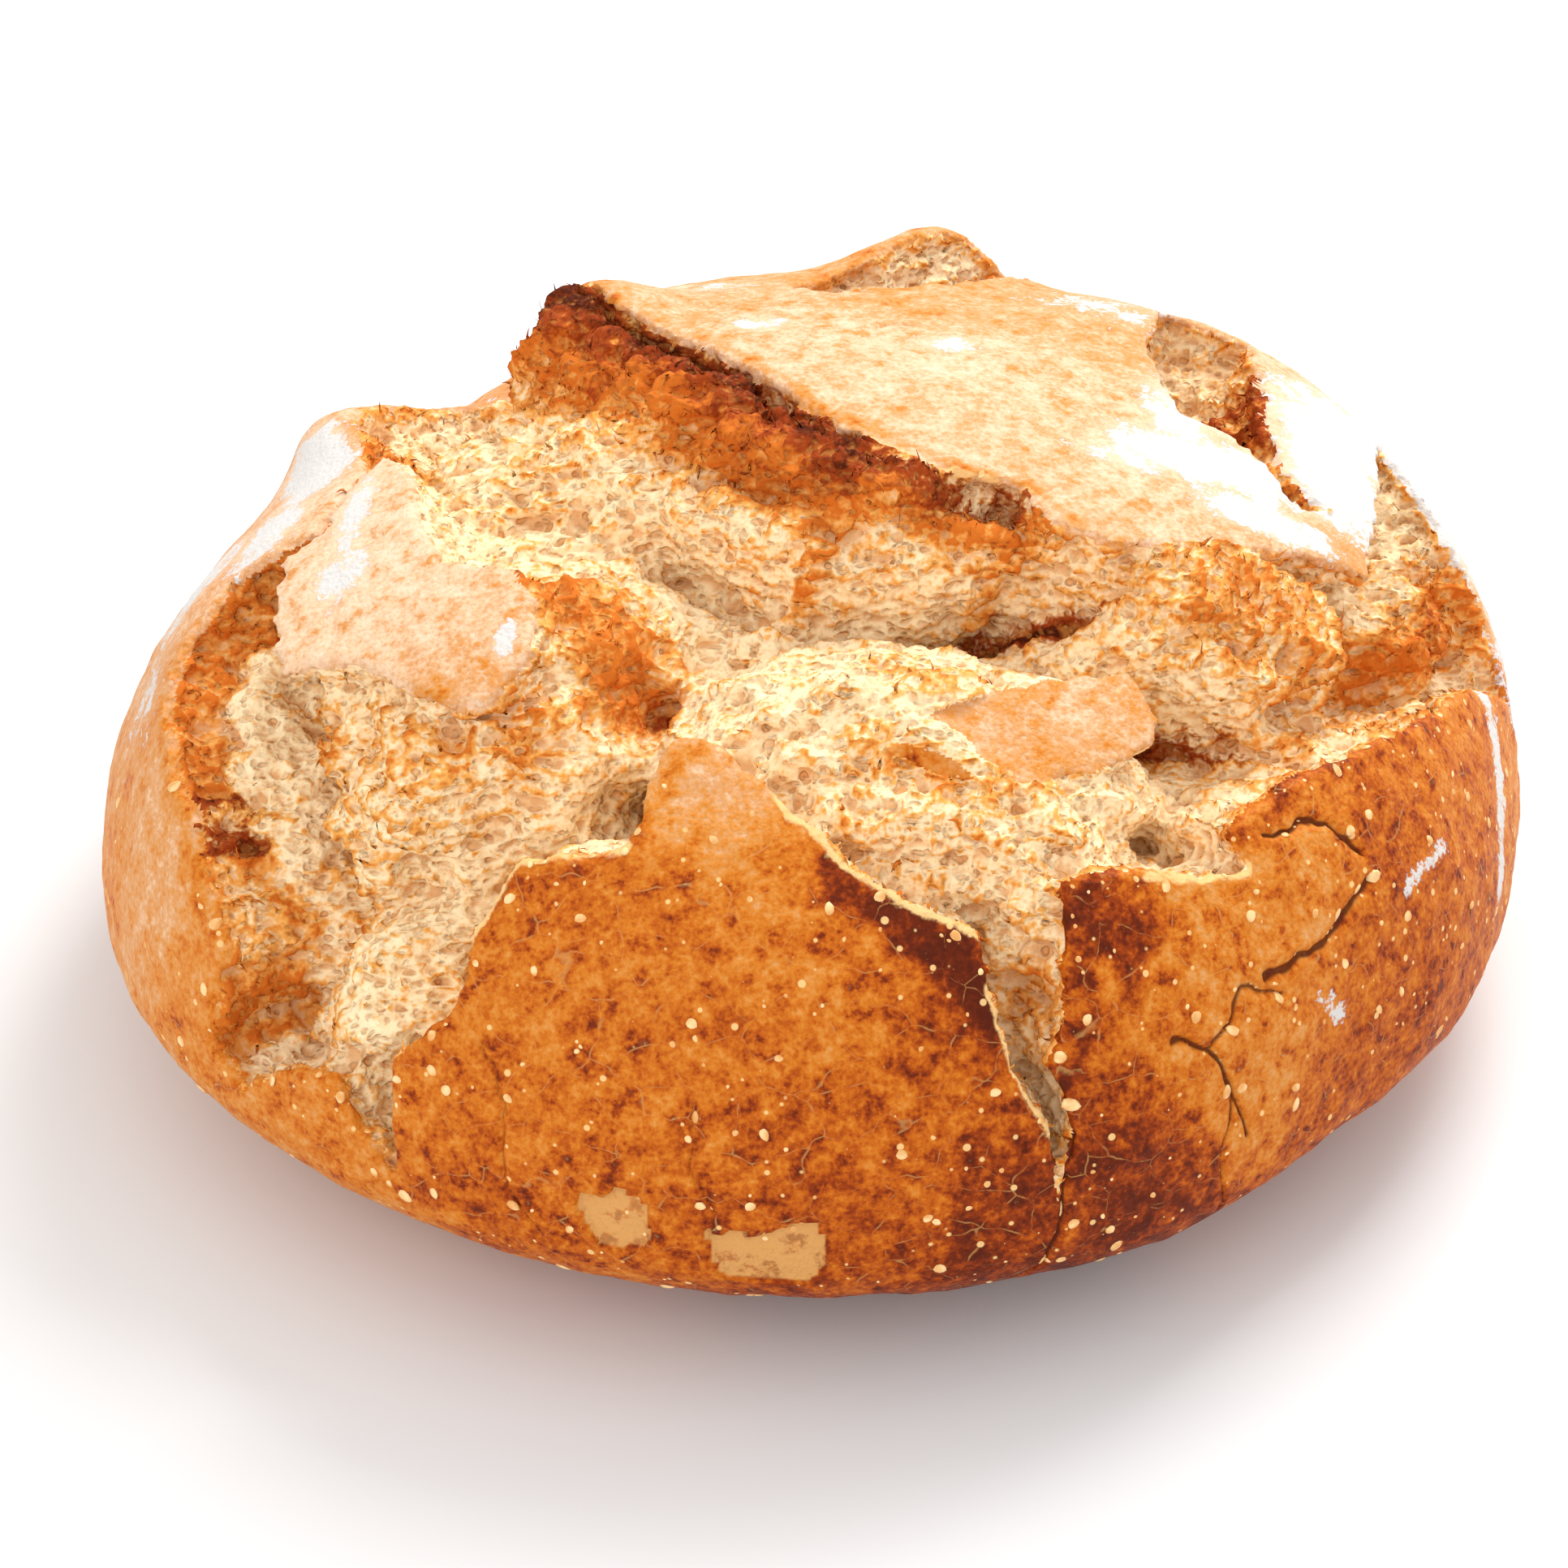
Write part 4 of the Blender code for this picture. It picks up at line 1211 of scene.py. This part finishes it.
@dataclass(frozen=True)
class CrustFinish:
    """Baked crust: from pale peach to scorched brown, with flour, specks and fine cracks darkened with
    painted shade.
    """

    stops: tuple[tuple[float, Colour], ...] = (
        (-0.1, linear(242, 210, 178)), (0.08, linear(232, 188, 148)), (0.22, linear(218, 158, 104)),
        (0.36, linear(216, 140, 62)), (0.50, linear(208, 118, 30)), (0.64, linear(188, 90, 14)),
        (0.78, linear(150, 58, 8)), (0.92, linear(108, 36, 6)), (1.1, linear(86, 27, 5)),
    )
    cream: Colour = linear(248, 204, 136)
    flour: Colour = linear(220, 216, 212)
    # Painted shade inside the cracks.
    crack_shade: Colour = linear(84, 28, 8)
    bared: Colour = linear(214, 156, 90)
    roughness: float = 0.5

    def material(self) -> bpy.types.Material:
        """The material."""
        graph = Graph("crust")
        bake = graph.mark(Mark.BAKE)
        mottle = graph.waves(3.4, 4.0, 0.66)
        grain = graph.waves(0.9, 1.0, 0.6)
        brown = bake.step(0.16, 0.5)
        tone = bake + (mottle - 0.5) * (0.7 + 0.3 * brown) + (grain - 0.5) * 0.42
        tone = tone + mottle.step(0.56, 0.7) * 0.12
        colour = graph.ramp(tone, self.stops)

        web = graph.cells(8.0, "DISTANCE_TO_EDGE", graph.mark_place())
        web_line = (0.004 - web["Distance"] + (mottle - 0.52) * 0.1).step(-0.01, 0.014)
        colour = graph.mix(web_line * 0.5 * brown, colour, self.bared)
        dots = graph.cells(2.4)
        size = graph.channel(dots["Color"])
        spot = (0.24 * size * size * size - dots["Distance"] + 0.02).step(-0.03, 0.05)
        colour = graph.mix(spot * (0.7 * brown + 0.15), colour, self.cream)

        lip = (graph.mark(Mark.LIP) + (mottle - 0.5) * 1.7).step(0.3, 0.7)
        colour = graph.mix(lip * 0.85, colour, self.cream)
        dust = (graph.mark(Mark.FLOUR) + (mottle - 0.5) * 1.3 + (grain - 0.5) * 0.9).step(0.6, 0.85)
        colour = graph.mix(dust * 0.96, colour, self.flour)
        chip = graph.mark(Mark.CHIP).step(0.3, 0.7)
        colour = graph.mix(chip * (1.0 - 0.5 * mottle.step(0.5, 0.6)), colour, self.bared)
        # Painted shade: the cracks darkened as if their depths lay in shadow.
        crack = graph.mark(Mark.CRACK).step(0.35, 0.8)
        colour = graph.mix(crack * 0.85, colour, self.crack_shade)

        graph.feed(graph.shader.inputs["Base Color"], colour)
        graph.feed(graph.shader.inputs["Roughness"], dust * 0.35 + self.roughness)
        graph.shader.inputs["Specular IOR Level"].default_value = 0.1
        graph.feed(graph.shader.inputs["Normal"], graph.bump(grain, 0.36))
        return graph.material


@dataclass(frozen=True)
class CrumbFinish:
    """Torn crumb: cream, toasted orange on its tips and by the crust, charred brown in places, with
    painted shade in its pores, hollows and deepest gaps.
    """

    cream: Colour = linear(255, 232, 188)
    gold: Colour = linear(240, 174, 88)
    orange: Colour = linear(210, 112, 34)
    # Brown for toasted and charred crumb, and for painted shade in gaps and toasted pores.
    brown: Colour = linear(156, 62, 18)
    # Dark for charred crumb and for painted shade in the deepest gaps.
    dark: Colour = linear(66, 22, 7)
    # Warm colour of the painted shade in pores and hollows.
    pore_shade: Colour = linear(218, 146, 72)

    def material(self) -> bpy.types.Material:
        """The material."""
        graph = Graph("crumb")
        fine = graph.waves(1.1, 1.0, 0.7)
        cells = graph.cells(1.7, place=graph.mark_place())
        small = graph.cells(0.9, place=graph.mark_place())
        spread = graph.mark(Mark.HEAT).step(-0.5, 0.9, 0.22, 0.06)
        # Pores: their depth feeds the bump, and the same pattern paints shade into them.
        pore_depth_and_shade = (spread + 0.3 * graph.channel(cells["Color"]) - cells["Distance"]).step(-0.16, 0.2)
        small_pore_shade = (spread + 0.2 * graph.channel(small["Color"]) - small["Distance"]).step(-0.16, 0.24)
        relief = graph.bump(fine * 0.6 - pore_depth_and_shade * 0.8, 0.5)
        pore_depth_and_shade = pore_depth_and_shade.larger(small_pore_shade * 0.7)
        heat = graph.mark(Mark.HEAT) + (fine - 0.5) * 1.1 - pore_depth_and_shade * 0.12
        colour = graph.mix(heat.step(0.12, 0.62), self.cream, self.gold)
        colour = graph.mix(heat.step(0.5, 1.1), colour, self.orange)
        # Charring and painted gap shade, made a little darker in the pores as painted shade.
        char = graph.mark(Mark.CHAR_AND_GAP_SHADE) + (fine - 0.5) * 0.9 + pore_depth_and_shade * 0.15
        colour = graph.mix(char.step(0.35, 0.8), colour, self.brown)
        colour = graph.mix(char.step(0.8, 1.3) * 0.9, colour, self.dark)
        toasted = heat.step(0.1, 0.8)
        # Painted shade: pores, toasted pores and hollows darkened toward the pore shade colour and
        # brown.
        colour = graph.mix(pore_depth_and_shade * 0.5, colour, self.pore_shade)
        colour = graph.mix(pore_depth_and_shade * toasted * 0.35, colour, self.brown)
        colour = graph.mix(graph.mark(Mark.HOLLOW_SHADE).step(0.1, 0.9) * 0.55, colour, self.pore_shade)

        graph.feed(graph.shader.inputs["Base Color"], colour)
        graph.shader.inputs["Roughness"].default_value = 0.85
        graph.shader.inputs["Specular IOR Level"].default_value = 0.12
        graph.feed(graph.shader.inputs["Normal"], relief)
        return graph.material


@dataclass(frozen=True)
class GritFinish:
    """Pale bran and grit baked into the crust."""

    light: Colour = linear(250, 212, 150)
    dull: Colour = linear(226, 160, 84)

    def material(self) -> bpy.types.Material:
        """The material."""
        graph = Graph("grit")
        wave = graph.waves(2.4, 2.0, 0.5)
        colour = graph.mix(wave.step(0.35, 0.65), self.light, self.dull)
        graph.feed(graph.shader.inputs["Base Color"], colour)
        graph.shader.inputs["Roughness"].default_value = 0.6
        return graph.material


class Slot(Enum):
    """Material slots of the record."""

    CRUST = "crust"
    CRUMB = "crumb"


def settle(piece: bpy.types.Object, material: bpy.types.Material) -> None:
    """Give a piece its finish, tie it to the loaf's body and let it stand for the loaf."""
    piece.data.materials.append(material)
    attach(piece, "root")
    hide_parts("loaf")


@dataclass
class Crust:
    """The baked crust, in a front and a back piece."""

    surface: LoafSurface
    finish: CrustFinish = field(default_factory=CrustFinish)

    def build(self) -> None:
        """Cut the crust off the surface and dress it."""
        material = self.finish.material()
        crusty = self.surface.polygon_means(self.surface.bare) < 0.5
        depth = self.surface.polygon_means(self.surface.surface.points[:, 1])
        split = float(np.median(depth[crusty]))
        for name, half in (("crust_front", depth < split), ("crust_back", depth >= split)):
            settle(self.surface.piece(name, crusty & half), material)


@dataclass
class Crumb:
    """The bare crumb of the openings, in a few pieces side by side."""

    surface: LoafSurface
    parts: int = 3
    finish: CrumbFinish = field(default_factory=CrumbFinish)

    def build(self) -> None:
        """Cut the crumb off the surface and dress it."""
        material = self.finish.material()
        torn = self.surface.polygon_means(self.surface.bare) >= 0.5
        across = self.surface.polygon_means(self.surface.surface.points[:, 0])
        limits = np.quantile(across[torn], np.linspace(0.0, 1.0, self.parts + 1))
        limits[0] -= 1.0
        limits[-1] += 1.0
        for index, (low, high) in enumerate(zip(limits[:-1], limits[1:])):
            part = torn & (across >= low) & (across < high)
            settle(self.surface.piece(f"crumb_{index + 1}", part), material)


@dataclass
class Grit:
    """Flat grains of bran and grit baked onto the crust."""

    surface: LoafSurface
    count: int = 700
    smallest: float = 0.28
    largest: float = 1.15
    sides: int = 10
    rings: tuple[tuple[float, float], ...] = ((1.0, -0.12), (0.8, 0.13), (0.4, 0.22))
    crown: float = 0.24
    root: float = 0.3
    ripple: float = 0.12
    least_height: float = 3.0
    finish: GritFinish = field(default_factory=GritFinish)

    def build(self) -> None:
        """Scatter the grains over the browned crust as one piece."""
        chance = np.random.default_rng(7)
        marks = self.surface.marks
        body = self.surface.surface
        likely = (self.surface.bare < 0.02) * smooth_step(marks[Mark.BAKE], 0.3, 0.55)
        likely *= (marks[Mark.FLOUR] < 0.4) & (body.points[:, 2] > self.least_height)
        picked = chance.choice(len(likely), self.count, replace=False, p=likely / likely.sum())
        points, faces = [], []
        for index in picked:
            normal = Vector(body.normals[index])
            side = normal.orthogonal().normalized()
            other = normal.cross(side)
            turn = chance.uniform(0.0, math.pi)
            size = self.smallest + (self.largest - self.smallest) * chance.random() ** 4.0
            long = size * chance.uniform(1.0, 1.5)
            start = len(points)
            centre = Vector(body.points[index])
            for reach, rise in self.rings:
                for step in range(self.sides):
                    angle = 2.0 * math.pi * step / self.sides
                    a = long * reach * math.cos(angle)
                    a *= 1.0 + self.ripple * math.sin(3.0 * angle + turn)
                    b = size * reach * math.sin(angle)
                    across = side * (a * math.cos(turn) - b * math.sin(turn))
                    across += other * (a * math.sin(turn) + b * math.cos(turn))
                    points.append((centre + across + normal * (rise * size))[:])
            points.append((centre + normal * (self.crown * size))[:])
            points.append((centre - normal * (self.root * size))[:])
            top = start + 3 * self.sides
            for step in range(self.sides):
                after = (step + 1) % self.sides
                for ring in range(2):
                    low, high = start + ring * self.sides, start + (ring + 1) * self.sides
                    faces.append((low + step, low + after, high + after, high + step))
                faces.append((start + 2 * self.sides + step, start + 2 * self.sides + after, top))
                faces.append((start + after, start + step, top + 1))
        mesh = bpy.data.meshes.new("grit")
        mesh.from_pydata((np.array(points) * MM).tolist(), [], faces)
        mesh.shade_smooth()
        settle(stand("grit", mesh), self.finish.material())
        LOG.info("grit: %d grains, %d faces", self.count, len(faces))


@dataclass
class Shreds:
    """Thin torn blades of crumb that stand up along its toasted ridges and torn edges."""

    surface: LoafSurface
    count: int = 3400
    shortest: float = 0.7
    longest: float = 2.6
    widest: float = 0.8
    stations: int = 4
    thickness: float = 0.22
    root: float = 0.25
    curl: float = 0.3
    taper: float = 0.85
    lowest: float = 12.0
    deepest: float = -11.0
    singed: float = 0.1
    finish: CrumbFinish = field(default_factory=CrumbFinish)

    def build(self) -> None:
        """Grow the blades on the crumb as one piece."""
        chance = np.random.default_rng(11)
        marks, body = self.surface.marks, self.surface.surface
        torn = self.surface.bare > 0.95
        edge = np.exp(-((self.surface.rim - 1.5) / 2.0) ** 2)
        likely = torn * (0.05 + smooth_step(marks[Mark.HEAT], 0.3, 1.0) + 1.2 * edge)
        likely *= smooth_step(-marks[Mark.HOLLOW_SHADE], -0.3, 0.0) * (body.points[:, 2] > self.lowest)
        likely *= self.surface.height > self.deepest
        picked = chance.choice(len(likely), self.count, replace=False, p=likely / likely.sum())
        start, normal = body.points[picked], body.normals[picked]
        random = chance.normal(size=(self.count, 3))
        side = np.cross(normal, random)
        side /= np.linalg.norm(side, axis=1, keepdims=True)
        lean = np.cross(side, normal)
        long = self.shortest + (self.longest - self.shortest) * chance.random(self.count) ** 2.0
        wide = self.widest * (0.35 + 0.65 * chance.random(self.count))
        thick = self.thickness * wide
        tilt = chance.uniform(0.3, 1.2, self.count)
        points = []
        for station in range(self.stations):
            share = station / (self.stations - 1.0)
            angle = tilt * (0.6 + 0.8 * share)
            rise = long * share * np.cos(angle) - self.root
            reach = long * share * np.sin(angle)
            middle = start + normal * rise[:, None] + lean * reach[:, None]
            middle = middle + side * (self.curl * wide * np.sin(5.0 * share + 9.0 * tilt))[:, None]
            half = 0.5 * wide * (1.0 - self.taper * share ** 1.6)
            points += [middle + side * half[:, None], middle - side * half[:, None],
                       middle + normal * thick[:, None] * (1.0 - share) + lean * 0.1]
        corner = np.stack(points, axis=1)
        width = corner.shape[1]
        faces = [(0, 1, 2)]
        for station in range(self.stations - 1):
            low, high = 3 * station, 3 * station + 3
            faces += [(low + a, low + b, high + b, high + a) for a, b in ((1, 0), (2, 1), (0, 2))]
        faces.append((width - 1, width - 2, width - 3))
        places = corner.reshape(-1, 3) * MM
        mesh = bpy.data.meshes.new("crumb_shreds")
        mesh.from_pydata(places.tolist(), [], [
            tuple(blade * width + index for index in face)
            for blade in range(self.count) for face in faces])
        mesh.shade_smooth()
        for mark in (Mark.HEAT, Mark.CHAR_AND_GAP_SHADE):
            store(mesh, mark.value, np.repeat(marks[mark][picked] + self.singed, width))
        store(mesh, PUSHED, places)
        settle(stand("crumb_shreds", mesh), self.finish.material())
        LOG.info("crumb_shreds: %d blades, %d faces", self.count, len(mesh.polygons))


@dataclass(frozen=True)
class Studio:
    """White floor, soft bright light and the camera of the photo."""

    floor_size: float = 4.0
    elevation: float = 35.0
    distance: float = 0.70
    target: Colour = (-0.005, 0.0, 0.0334)
    lens: float = 94.85
    sensor: float = 36.0
    world: float = 1.0
    key_place: Colour = (0.35, 0.55, 0.85)
    key_size: float = 0.5
    key_power: float = 8.0
    fill_place: Colour = (-0.45, -0.75, 0.55)
    fill_size: float = 0.8
    fill_power: float = 2.0
    aim: Colour = (0.0, 0.0, 0.05)
    floor_shade: float = 0.8
    floor_roughness: float = 0.9

    def build(self) -> None:
        """Set up floor, light and camera."""
        self._floor()
        self._light("key", self.key_place, self.key_size, self.key_power)
        self._light("fill", self.fill_place, self.fill_size, self.fill_power)
        world = bpy.data.worlds.new("studio")
        bpy.context.scene.world = world
        world.use_nodes = True
        world.node_tree.nodes["Background"].inputs["Color"].default_value = (1.0, 1.0, 1.0, 1.0)
        world.node_tree.nodes["Background"].inputs["Strength"].default_value = self.world
        camera = bpy.data.cameras.new("photo")
        camera.lens = self.lens
        camera.sensor_width = self.sensor
        holder = bpy.data.objects.new("photo", camera)
        angle = math.radians(self.elevation)
        back = Vector((0.0, -math.cos(angle), math.sin(angle)))
        holder.location = Vector(self.target) + back * self.distance
        holder.rotation_euler = (-back).to_track_quat("-Z", "Y").to_euler()
        bpy.context.scene.collection.objects.link(holder)
        bpy.context.scene.camera = holder
        bpy.context.scene.view_settings.view_transform = "Standard"

    def _floor(self) -> None:
        """A plain white floor under the loaf."""
        half = self.floor_size / 2.0
        mesh = bpy.data.meshes.new("floor")
        corners = [(-half, -half, 0), (half, -half, 0), (half, half, 0), (-half, half, 0)]
        mesh.from_pydata(corners, [], [(0, 1, 2, 3)])
        material = bpy.data.materials.new("floor")
        material.use_nodes = True
        shader = material.node_tree.nodes["Principled BSDF"]
        shader.inputs["Base Color"].default_value = (*[self.floor_shade] * 3, 1.0)
        shader.inputs["Roughness"].default_value = self.floor_roughness
        mesh.materials.append(material)
        stand("floor", mesh)

    def _light(self, name: str, place: Colour, size: float, power: float) -> None:
        """A soft square light that faces the loaf."""
        lamp = bpy.data.lights.new(name, "AREA")
        lamp.energy = power
        lamp.size = size
        holder = bpy.data.objects.new(name, lamp)
        holder.location = place
        ahead = Vector(self.aim) - Vector(place)
        holder.rotation_euler = ahead.to_track_quat("-Z", "Y").to_euler()
        bpy.context.scene.collection.objects.link(holder)


def main() -> None:
    """Build the loaf and its studio."""
    logging.basicConfig(level=logging.INFO, format="%(message)s")
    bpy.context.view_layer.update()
    noise.seed_set(SEED)
    surface = LoafSurface()
    surface.build()
    Crust(surface).build()
    Crumb(surface).build()
    Shreds(surface).build()
    Grit(surface).build()
    Studio().build()


if __name__ == "__main__":
    main()
